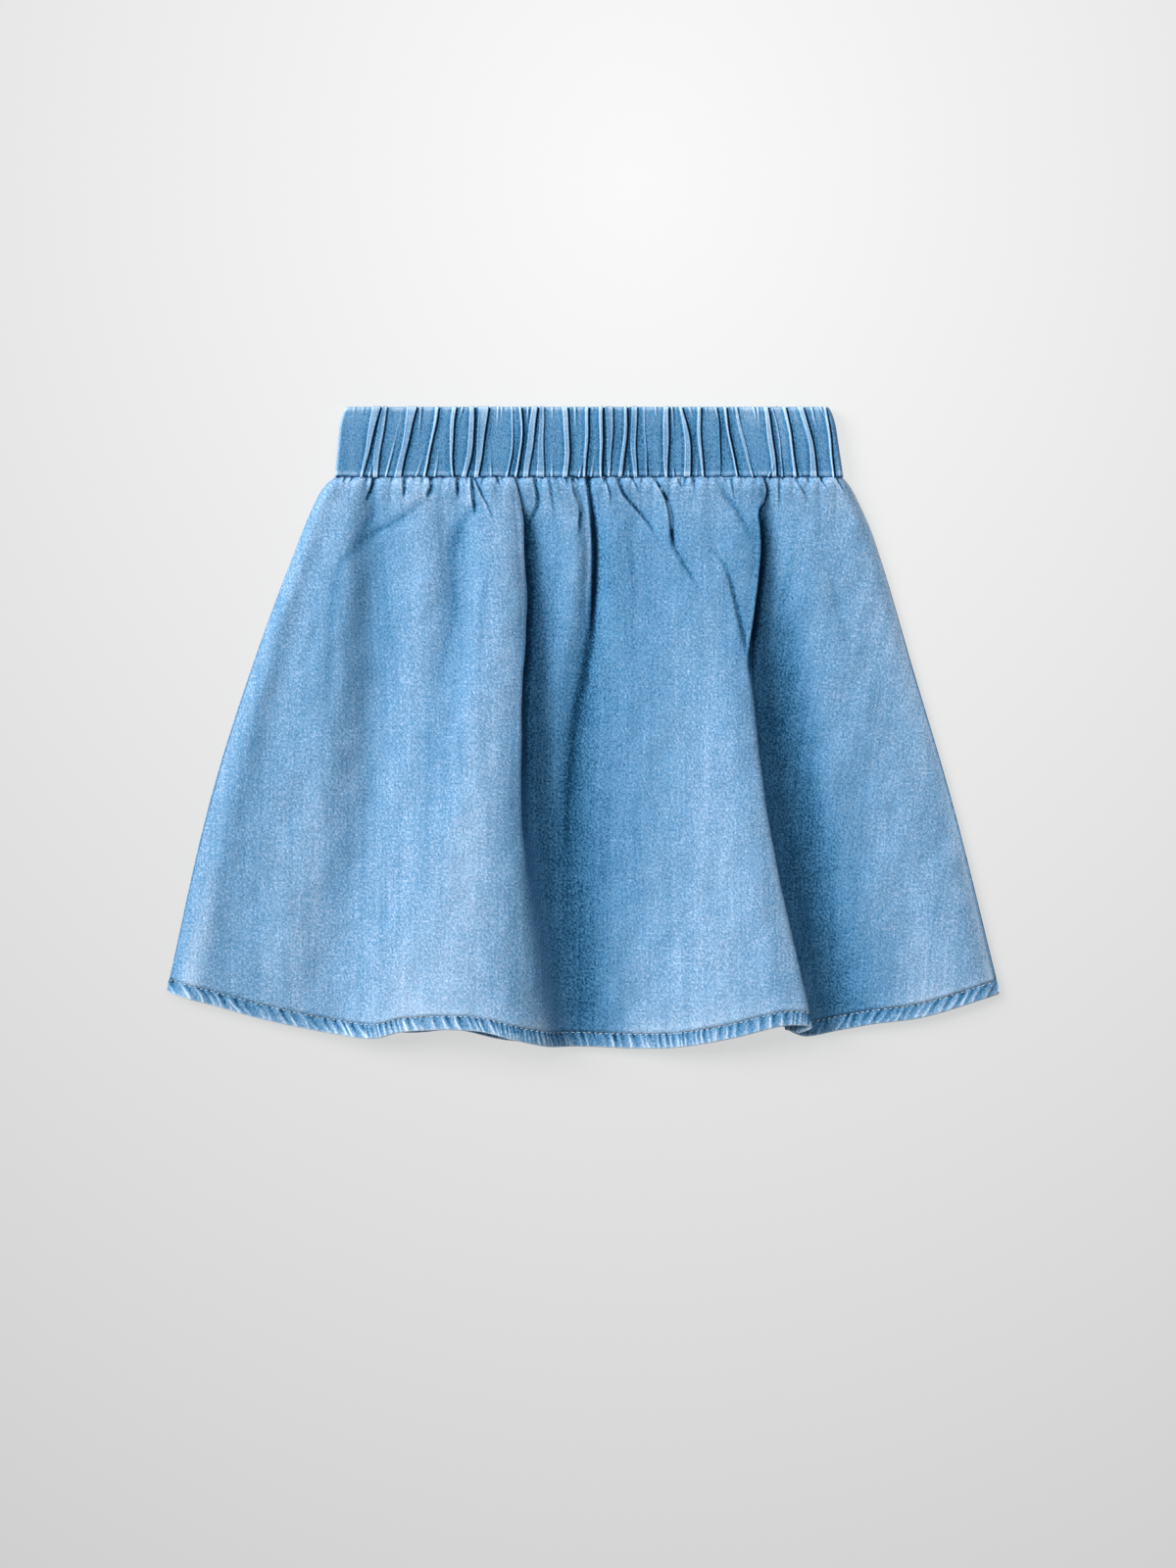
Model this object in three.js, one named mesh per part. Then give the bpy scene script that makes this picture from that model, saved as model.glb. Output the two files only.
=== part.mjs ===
// Child's circle skirt in light denim, with an elastic waistband and a narrow turned hem.
// It lies face up on a table: +X to the right, +Y towards the waist, +Z up, in millimetres.
// The origin is under the middle of its outline, on the table.
import * as THREE from 'three';

// Overall sizes
const BAND_HEIGHT = 33.5;      // depth of the elastic waistband
const SKIRT_LENGTH = 271.2;    // longest drop, from the waist seam to the hem's edge
const HEM_DEPTH = 7;           // depth of the turned hem
const SEAM_GAP = 0.3;          // between pieces that are sewn together
const HEM_GAP = 0.5;           // between a panel and its hem, where the cloth is folded sharply
const CLOTH = 1;               // wall of one layer of cloth
const HEM_CLOTH = 2;           // wall of the hem, where the cloth is turned twice
const BAND_THICK = 3;          // cloth, elastic and cloth
const BAND_ROUND = 1.2;        // radius of the band's long edges
const WAIST_Y = (SKIRT_LENGTH - BAND_HEIGHT) / 2;

// The band's side edges, at its top edge and at the waist seam
const BAND_LEFT = { top: -114.8, seam: -117.9 };
const BAND_RIGHT = { top: 118.6, seam: 123.5 };
const BAND_END_THIN = 0.55;    // share of the thickness left at the very ends
const BAND_END_REACH = 0.06;   // share of the half width over which the ends thin

// The front panel is drawn along lines that run from the waist seam to the hem's edge: the side
// seams, and each crest, edge and valley of its flares. x and z give a line's place across and
// the height of its outer face at the shares of its length in STATIONS. drop is its length.
const STATIONS = [0, 0.12, 0.38, 0.65, 1];
const FRONT_LINES = [
  { name: 'left seam', drop: 244.2, x: [-117.9, -134.2, -158.3, -178.6, -197.8], z: [4.4, 3.4, 3, 2.8, 4.5] },
  { name: 'left shoulder', drop: 247.3, x: [-115.1, -130, -151.5, -168.5, -188.5], z: [5.2, 5.8, 6.2, 6, 6.2] },
  { name: 'side dip', drop: 250.5, x: [-111, -123, -142.5, -156.5, -176], z: [5.3, 6.2, 5.7, 5.4, 6] },
  { name: 'left flat', drop: 257.7, x: [-106.5, -111.8, -115.5, -127, -150], z: [5.6, 7.8, 8.8, 7.4, 6.4] },
  { name: 'side valley', drop: 263.9, x: [-98.5, -99.5, -99, -104.5, -119], z: [5.2, 4.6, 4.4, 5.8, 7.4] },
  { name: 'side crest', drop: 266, x: [-83, -75.5, -77.5, -87, -99], z: [5.8, 8.8, 9.8, 10.8, 12] },
  { name: 'hip valley', drop: 262.9, x: [-66.5, -59, -63, -71.5, -86], z: [5.3, 6.8, 11, 15.2, 14.5] },
  { name: 'left crest', drop: 262.1, x: [-48.9, -45.3, -50.1, -54.5, -50], z: [5.9, 10.2, 15.4, 18.8, 20.6] },
  { name: 'left brow', drop: 266.4, x: [-38.7, -33.4, -35.4, -38, -32], z: [5.9, 9.8, 15, 18.6, 20.4] },
  { name: 'left edge', drop: 269.6, x: [-34, -28.8, -28.8, -28.4, -17], z: [5.6, 7.8, 12.4, 15.2, 14.6] },
  { name: 'left foot', drop: 270.2, x: [-31, -26, -25, -22, -9.5], z: [5.2, 3.8, 3, 4, 6] },
  { name: 'foot crest', drop: 270.1, x: [-14.5, -3, -10, -14.5, -3.5], z: [5.8, 6.8, 4, 2.8, 4.6] },
  { name: 'centre crease', drop: 270.3, x: [0.9, 4.2, 0, -5, 5], z: [4.8, 4.6, 2.9, 2.7, 4.7] },
  { name: 'centre rise', drop: 271, x: [10.7, 13.5, 13, 14, 24], z: [5.8, 7, 5.2, 4.6, 6.2] },
  { name: 'centre slope', drop: 270.4, x: [24.7, 28, 34, 37.7, 44.3], z: [5.5, 6.8, 8.4, 8.6, 10] },
  { name: 'centre crest', drop: 266, x: [48.9, 54.5, 58.3, 62, 69.4], z: [5.9, 9.4, 12, 13.2, 15] },
  { name: 'centre brow', drop: 259.5, x: [73.2, 76.6, 72.5, 81.5, 97], z: [5.9, 9, 13.2, 15.8, 17.4] },
  { name: 'right edge', drop: 260.5, x: [83.4, 84.3, 80.4, 88.9, 108.4], z: [5.6, 7, 11.4, 13.8, 14.6] },
  { name: 'right return', drop: 263.3, x: [85.3, 84.8, 78.6, 84.6, 102.5], z: [5.3, 5, 6.4, 7.2, 8.6] },
  { name: 'right turn', drop: 262.2, x: [87.2, 85.5, 76, 81.6, 97.5], z: [5.1, 4, 3.7, 4, 5.6] },
  { name: 'right foot', drop: 265.3, x: [89.5, 88.5, 85.5, 93.2, 104.5], z: [5, 3.4, 2.5, 2.5, 4.6] },
  { name: 'foot end', drop: 262.6, x: [94.1, 94.5, 98.5, 107.5, 121], z: [5.5, 4.8, 2.7, 2.6, 4.6] },
  { name: 'right rise', drop: 259.6, x: [102.5, 106.5, 112.5, 122, 137], z: [5.8, 6.8, 4.6, 3.9, 6] },
  { name: 'right crest', drop: 256.4, x: [112.3, 119.8, 130.5, 144.5, 160.8], z: [5.7, 6.4, 5.2, 4.6, 6.2] },
  { name: 'right shoulder', drop: 247.8, x: [120.2, 133.2, 150.6, 169.8, 189.7], z: [5.4, 4.8, 4.2, 4, 5.2] },
  { name: 'right seam', drop: 245.3, x: [123.3, 137.9, 157.2, 176.5, 197.8], z: [4.4, 3.4, 3, 2.8, 4.5] },
];
const FRONT_STEPS = 2;         // strips of cloth between two neighbouring lines
const FRONT_ROWS = [0, 0.025, 0.06, 0.12, 0.2, 0.29, 0.38, 0.47, 0.56, 0.65, 0.74, 0.83, 0.92, 1];

// Just below the waist seam the sides swell out, as the gathered cloth leaves the band. A line's
// share of the swell is negative where it swells out to the left.
const SHOULDER_SWELL = 3;
const SHOULDER_AT = 0.03;      // share of the length where the swell is fullest
const LEFT_SWELL = -1;
const RIGHT_SWELL = 0.5;
const SWELLING = {
  'left seam': LEFT_SWELL,
  'left shoulder': LEFT_SWELL,
  'right shoulder': RIGHT_SWELL,
  'right seam': RIGHT_SWELL,
};

// The back panel lies on the table. Its folds are low arches that fade out towards the waist:
// x at the waist and at the hem, the arch's rise at the hem, its half width there, and how far
// it lifts the hem's edge towards the waist.
const BACK_DROP = { side: 243.8, centre: 268.6 };
const BACK_FOLDS = [
  { waist: -92, hem: -150, rise: 1.6, half: 14, lift: 0 },
  { waist: -40, hem: -60, rise: 3.4, half: 22, lift: 4 },
  { waist: 46, hem: 84, rise: 2.4, half: 20, lift: 3.5 },
  { waist: 96, hem: 158, rise: 2.2, half: 16, lift: 0 },
];
const FOLD_AT_WAIST = 0.5;     // share of a back fold's width that it keeps at the waist
const LIFT_SPREAD = 0.5;       // how far a lift of the hem's edge spreads, as a share of its fold
const BACK_STRIPS = 36;
const BACK_ROWS = [0, 0.06, 0.14, 0.26, 0.38, 0.5, 0.62, 0.74, 0.86, 1];
const HEM_ROWS = [0, 1];
const BAND_STRIPS = 14;
const BAND_CORNER_STEPS = 3;

function fabric(color) {
  return new THREE.MeshStandardMaterial({ color, roughness: 0.9, metalness: 0 });
}
const LIGHT_DENIM = 0x79a5cc;
const HEM_DENIM = 0x6f9cc6;
const BAND_DENIM = 0x5f90c0;

// A value between named places: a cubic that passes through all of them
function between(places, values, at) {
  const last = places.length - 1;
  let k = 0;
  while (k < last - 1 && at > places[k + 1]) k += 1;
  const slope = (a, b) => (values[b] - values[a]) / (places[b] - places[a]);
  const span = places[k + 1] - places[k];
  const start = slope(Math.max(k - 1, 0), k + 1) * span;
  const end = slope(k, Math.min(k + 2, last)) * span;
  const u = (at - places[k]) / span;
  const rise = values[k + 1] - values[k];
  const bend = (1 - u) * (start - rise) + u * (rise - end);
  return values[k] + u * rise + u * (1 - u) * bend;
}

// How far a side of the skirt swells out at a share of its length
function swell(share) {
  const u = share / SHOULDER_AT;
  return SHOULDER_SWELL * u * Math.exp(1 - u);
}

// The front panel's outer face across one level, from one side seam to the other
function frontSection(share) {
  const knots = FRONT_LINES.map((line) => {
    const x = between(STATIONS, line.x, share) + (SWELLING[line.name] ?? 0) * swell(share);
    return new THREE.Vector3(x, WAIST_Y - share * line.drop, between(STATIONS, line.z, share));
  });
  const curve = new THREE.CatmullRomCurve3(knots, false, 'centripetal');
  return curve.getPoints((knots.length - 1) * FRONT_STEPS);
}

function backDrop(x, reach) {
  const across = x / reach;
  let drop = BACK_DROP.centre - (BACK_DROP.centre - BACK_DROP.side) * across * across;
  for (const fold of BACK_FOLDS) {
    drop -= fold.lift * Math.exp(-(((x - fold.hem) / fold.half) ** 2) / LIFT_SPREAD);
  }
  return drop;
}

// The back panel's lower face, which rests on the table between its folds
function backSection(share) {
  const left = FRONT_LINES[0];
  const right = FRONT_LINES[FRONT_LINES.length - 1];
  const points = [];
  for (let i = 0; i <= BACK_STRIPS; i += 1) {
    const u = i / BACK_STRIPS;
    const hemX = left.x[4] + (right.x[4] - left.x[4]) * u;
    const from = between(STATIONS, left.x, share) + LEFT_SWELL * swell(share);
    const to = between(STATIONS, right.x, share) + RIGHT_SWELL * swell(share);
    const x = from + (to - from) * u;
    let z = 0;
    for (const fold of BACK_FOLDS) {
      const middle = fold.waist + (fold.hem - fold.waist) * share;
      const half = fold.half * (FOLD_AT_WAIST + (1 - FOLD_AT_WAIST) * share);
      const off = (x - middle) / half;
      if (Math.abs(off) < 1) z += fold.rise * share * Math.cos((Math.PI / 2) * off) ** 2;
    }
    points.push(new THREE.Vector3(x, WAIST_Y - share * backDrop(hemX, right.x[4]), z));
  }
  return points;
}

// The direction that the face of a grid of points looks in, at each point
function facing(grid) {
  const rows = grid.length;
  const columns = grid[0].length;
  return grid.map((row, j) => row.map((_, i) => {
    const across = row[Math.min(i + 1, columns - 1)].clone().sub(row[Math.max(i - 1, 0)]);
    const up = grid[Math.max(j - 1, 0)][i].clone().sub(grid[Math.min(j + 1, rows - 1)][i]);
    return across.cross(up).normalize();
  }));
}

// A wall of cloth between two grids of points, upper over lower, closed along its four edges
function wall(upper, lower) {
  const rows = upper.length;
  const columns = upper[0].length;
  const position = [...upper.flat(), ...lower.flat()].flatMap((p) => [p.x, p.y, p.z]);
  const top = (j, i) => j * columns + i;
  const under = (j, i) => rows * columns + top(j, i);
  const index = [];
  const quad = (a, b, c, d) => index.push(a, b, c, a, c, d);
  for (let j = 0; j < rows - 1; j += 1) {
    for (let i = 0; i < columns - 1; i += 1) {
      quad(top(j, i), top(j + 1, i), top(j + 1, i + 1), top(j, i + 1));
      quad(under(j, i), under(j, i + 1), under(j + 1, i + 1), under(j + 1, i));
    }
    quad(top(j, 0), under(j, 0), under(j + 1, 0), top(j + 1, 0));
    const e = columns - 1;
    quad(top(j, e), top(j + 1, e), under(j + 1, e), under(j, e));
  }
  for (let i = 0; i < columns - 1; i += 1) {
    quad(top(0, i), top(0, i + 1), under(0, i + 1), under(0, i));
    const e = rows - 1;
    quad(top(e, i), under(e, i), under(e, i + 1), top(e, i + 1));
  }
  const geometry = new THREE.BufferGeometry();
  geometry.setAttribute('position', new THREE.Float32BufferAttribute(position, 3));
  geometry.setIndex(index);
  geometry.computeVertexNormals();
  return geometry;
}

function named(name, geometry, color) {
  const mesh = new THREE.Mesh(geometry, fabric(color));
  mesh.name = name;
  return mesh;
}

// Rows as shares of the whole drop, for the panel above the hem and for the hem itself
const HEM_START = 1 - HEM_DEPTH / SKIRT_LENGTH;
const PANEL_START = SEAM_GAP / SKIRT_LENGTH;
const PANEL_END = HEM_START - HEM_GAP / SKIRT_LENGTH;
const panelShares = (rows) => rows.map((u) => PANEL_START + u * (PANEL_END - PANEL_START));
const hemShares = HEM_ROWS.map((u) => HEM_START + u * (1 - HEM_START));

// Front: the outer face is the drawn one, and the wall is built inwards from it
function front(name, shares, thickness, color) {
  const outer = shares.map(frontSection);
  const out = facing(outer);
  const inner = outer.map((row, j) => row.map((p, i) => {
    const point = p.clone().addScaledVector(out[j][i], -thickness);
    return point.setY(p.y);
  }));
  return named(name, wall(outer, inner), color);
}

// Back: the outer face lies on the table, and the wall is built up from it
function back(name, shares, thickness, color) {
  const outer = shares.map(backSection);
  const inner = outer.map((row) => row.map((p) => p.clone().setZ(p.z + thickness)));
  return named(name, wall(inner, outer), color);
}

// Half of the waistband, front or back: cloth folded over the elastic, thinner at the side seams
function waistband(name, low) {
  const outline = [];
  const high = BAND_HEIGHT - BAND_ROUND;
  const corners = [[high, 1], [BAND_ROUND, 1], [BAND_ROUND, -1], [high, -1]];
  const turns = [[1, 0], [0, -1], [-1, 0], [0, 1]];
  corners.forEach(([y, side], k) => {
    for (let i = 0; i <= BAND_CORNER_STEPS; i += 1) {
      const a = (Math.PI / 2) * (i / BAND_CORNER_STEPS);
      const [c, s] = turns[k];
      const dy = BAND_ROUND * (c * Math.cos(a) + s * Math.sin(a));
      const dz = BAND_ROUND * (c * Math.sin(a) - s * Math.cos(a));
      outline.push({ y: y + dy, z: side * (BAND_THICK / 2 - BAND_ROUND) + dz });
    }
  });
  const position = [];
  for (let j = 0; j <= BAND_STRIPS; j += 1) {
    const s = -Math.cos((Math.PI * j) / BAND_STRIPS);
    const toEnd = Math.min(1, (1 - Math.abs(s)) / BAND_END_REACH);
    const thin = BAND_END_THIN + (1 - BAND_END_THIN) * Math.sqrt(1 - (1 - toEnd) ** 2);
    for (const p of outline) {
      const up = p.y / BAND_HEIGHT;
      const left = BAND_LEFT.seam + (BAND_LEFT.top - BAND_LEFT.seam) * up;
      const right = BAND_RIGHT.seam + (BAND_RIGHT.top - BAND_RIGHT.seam) * up;
      const x = (left + right) / 2 + (s * (right - left)) / 2;
      position.push(x, WAIST_Y + p.y, low + BAND_THICK / 2 + p.z * thin);
    }
  }
  const ring = outline.length;
  const index = [];
  for (let j = 0; j < BAND_STRIPS; j += 1) {
    for (let i = 0; i < ring; i += 1) {
      const n = (i + 1) % ring;
      const a = j * ring + i;
      const b = j * ring + n;
      index.push(a, b, b + ring, a, b + ring, a + ring);
    }
  }
  for (let i = 1; i < ring - 1; i += 1) {
    const e = BAND_STRIPS * ring;
    index.push(0, i + 1, i, e, e + i, e + i + 1);
  }
  const geometry = new THREE.BufferGeometry();
  geometry.setAttribute('position', new THREE.Float32BufferAttribute(position, 3));
  geometry.setIndex(index);
  geometry.computeVertexNormals();
  return named(name, geometry, BAND_DENIM);
}

const skirt = new THREE.Group();
skirt.add(waistband('waistband_back', 0));
skirt.add(waistband('waistband_front', BAND_THICK + SEAM_GAP));
skirt.add(back('skirt_back', panelShares(BACK_ROWS), CLOTH, LIGHT_DENIM));
skirt.add(back('hem_back', hemShares, HEM_CLOTH, HEM_DENIM));
skirt.add(front('skirt_front', panelShares(FRONT_ROWS), CLOTH, LIGHT_DENIM));
skirt.add(front('hem_front', hemShares, HEM_CLOTH, HEM_DENIM));

export default skirt;
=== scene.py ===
import math

import bpy
import numpy as np
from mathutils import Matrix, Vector


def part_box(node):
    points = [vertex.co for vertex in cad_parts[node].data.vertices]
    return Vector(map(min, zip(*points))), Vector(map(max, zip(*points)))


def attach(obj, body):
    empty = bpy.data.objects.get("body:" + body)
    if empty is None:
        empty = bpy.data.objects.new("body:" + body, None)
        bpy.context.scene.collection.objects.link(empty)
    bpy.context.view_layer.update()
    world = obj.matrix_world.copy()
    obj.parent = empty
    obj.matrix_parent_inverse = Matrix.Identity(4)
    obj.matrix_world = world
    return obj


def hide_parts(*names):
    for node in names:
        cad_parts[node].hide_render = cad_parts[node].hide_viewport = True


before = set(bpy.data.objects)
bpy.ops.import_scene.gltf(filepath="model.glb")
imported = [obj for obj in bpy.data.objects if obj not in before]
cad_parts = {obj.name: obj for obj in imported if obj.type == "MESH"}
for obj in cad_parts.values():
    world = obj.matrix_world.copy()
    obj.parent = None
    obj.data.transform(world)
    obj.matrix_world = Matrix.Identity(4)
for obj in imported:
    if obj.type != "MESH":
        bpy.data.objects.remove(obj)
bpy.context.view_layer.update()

# ----------------------------------------------------------
# Camera: straight above the skirt as it lies, with the waistband away from the viewer.
FRAME_TALL = 0.7456           # how much of the table the tall side of the picture takes in
CAMERA_HIGH = 2.0
SENSOR = 36.0
eye = bpy.data.cameras.new("camera")
eye.sensor_width = SENSOR
eye.lens = SENSOR * CAMERA_HIGH / FRAME_TALL
camera = bpy.data.objects.new("camera", eye)
camera.location = (0.0023, -0.0267, CAMERA_HIGH)
bpy.context.scene.collection.objects.link(camera)
bpy.context.scene.camera = camera

# ----------------------------------------------------------
# Front panel: one flared piece of washed light-blue denim, gathered into the waistband. It lies
# in three flares; the middle one is folded over the right one, and every gather below the
# waist seam is a soft crease that fades down the cloth.
MM = 0.001
CLOTH = 0.0008
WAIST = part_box("waistband_front")[0].y       # the waist seam
HEM_DEPTH = 0.007
LONGEST = 0.2712                             # longest drop from the seam to the hem's edge
HEM_START = 1 - HEM_DEPTH / LONGEST

# The lines that the front is drawn along, as shares of their own length in STATIONS:
# the drop in mm, then x and the height of the outer face at each station.
STATIONS = np.array([0, 0.12, 0.38, 0.65, 1])
FRONT_LINES = np.array([
    # drop   x, waist to hem                        z, waist to hem
    (244.2, -117.9, -134.2, -158.3, -178.6, -197.8, 3.4, 3.0, 2.4, 2.2, 3.0),  # left seam
    (247.3, -115.1, -130.0, -151.5, -168.5, -188.5, 5.2, 5.8, 6.2, 6.0, 6.2),  # left shoulder
    (250.5, -111.0, -123.0, -142.5, -156.5, -176.0, 5.3, 6.2, 5.7, 5.4, 6.0),  # side dip
    (257.7, -106.5, -111.8, -115.5, -127.0, -150.0, 5.6, 7.8, 8.8, 7.4, 6.4),  # left flat
    (263.9, -98.5, -99.5, -99.0, -104.5, -119.0, 5.2, 4.6, 4.4, 5.8, 7.4),  # side valley
    (266.0, -83.0, -75.5, -77.5, -87.0, -99.0, 5.8, 8.8, 9.8, 10.8, 12.0),  # side crest
    (262.9, -66.5, -59.0, -63.0, -71.5, -86.0, 5.3, 6.8, 11.0, 15.2, 14.5),  # hip valley
    (262.1, -48.9, -45.3, -50.1, -54.5, -50.0, 5.9, 10.2, 15.4, 18.8, 20.6),  # left crest
    (266.4, -38.7, -33.4, -35.4, -38.0, -32.0, 5.9, 9.8, 15.0, 18.6, 20.4),  # left brow
    (269.6, -34.0, -28.8, -28.8, -28.4, -17.0, 5.6, 7.8, 12.4, 15.2, 14.6),  # left edge
    (270.2, -31.0, -26.0, -25.0, -22.0, -9.5, 5.2, 3.8, 3.0, 4.0, 6.0),  # left foot
    (270.1, -14.5, -3.0, -10.0, -14.5, -3.5, 5.8, 6.8, 4.0, 2.8, 4.6),  # foot crest
    (270.3, 0.9, 4.2, 0.0, -5.0, 5.0, 4.8, 4.6, 2.9, 2.7, 4.7),  # centre crease
    (271.0, 10.7, 13.5, 13.0, 14.0, 24.0, 5.8, 7.0, 5.2, 4.6, 6.2),  # centre rise
    (270.4, 24.7, 28.0, 34.0, 37.7, 44.3, 5.5, 6.8, 8.4, 8.6, 10.0),  # centre slope
    (266.0, 48.9, 54.5, 58.3, 62.0, 69.4, 5.9, 9.4, 12.0, 13.2, 15.0),  # centre crest
    (259.5, 73.2, 76.6, 72.5, 81.5, 97.0, 5.9, 9.0, 13.2, 15.8, 17.4),  # centre brow
    (260.5, 83.4, 84.3, 80.4, 88.9, 108.4, 5.6, 7.0, 11.4, 13.8, 14.6),  # right edge
    (263.3, 85.3, 84.8, 78.6, 84.6, 102.5, 5.3, 5.0, 6.4, 7.2, 8.6),  # right return
    (262.2, 87.2, 85.5, 76.0, 81.6, 97.5, 5.1, 4.0, 3.7, 4.0, 5.6),  # right turn
    (265.3, 89.5, 88.5, 85.5, 93.2, 104.5, 5.0, 3.4, 2.5, 2.5, 4.6),  # right foot
    (262.6, 94.1, 94.5, 98.5, 107.5, 121.0, 5.5, 4.8, 2.7, 2.6, 4.6),  # foot end
    (259.6, 102.5, 106.5, 112.5, 122.0, 137.0, 5.8, 6.8, 4.6, 3.9, 6.0),  # right rise
    (256.4, 112.3, 119.8, 130.5, 144.5, 160.8, 5.7, 6.4, 5.2, 4.6, 6.2),  # right crest
    (247.8, 120.2, 133.2, 150.6, 169.8, 189.7, 5.4, 4.8, 4.2, 4.0, 5.2),  # right shoulder
    (245.3, 123.3, 137.9, 157.2, 176.5, 197.8, 3.4, 2.6, 2.2, 2.0, 2.6),  # right seam
])
LINE_DROP = FRONT_LINES[:, 0] * MM
LINE_X = FRONT_LINES[:, 1:6] * MM
LINE_Z = FRONT_LINES[:, 6:11] * MM
SWELL = 0.003                 # how far the sides swell out just below the waist seam
SWELL_AT = 0.03

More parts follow.
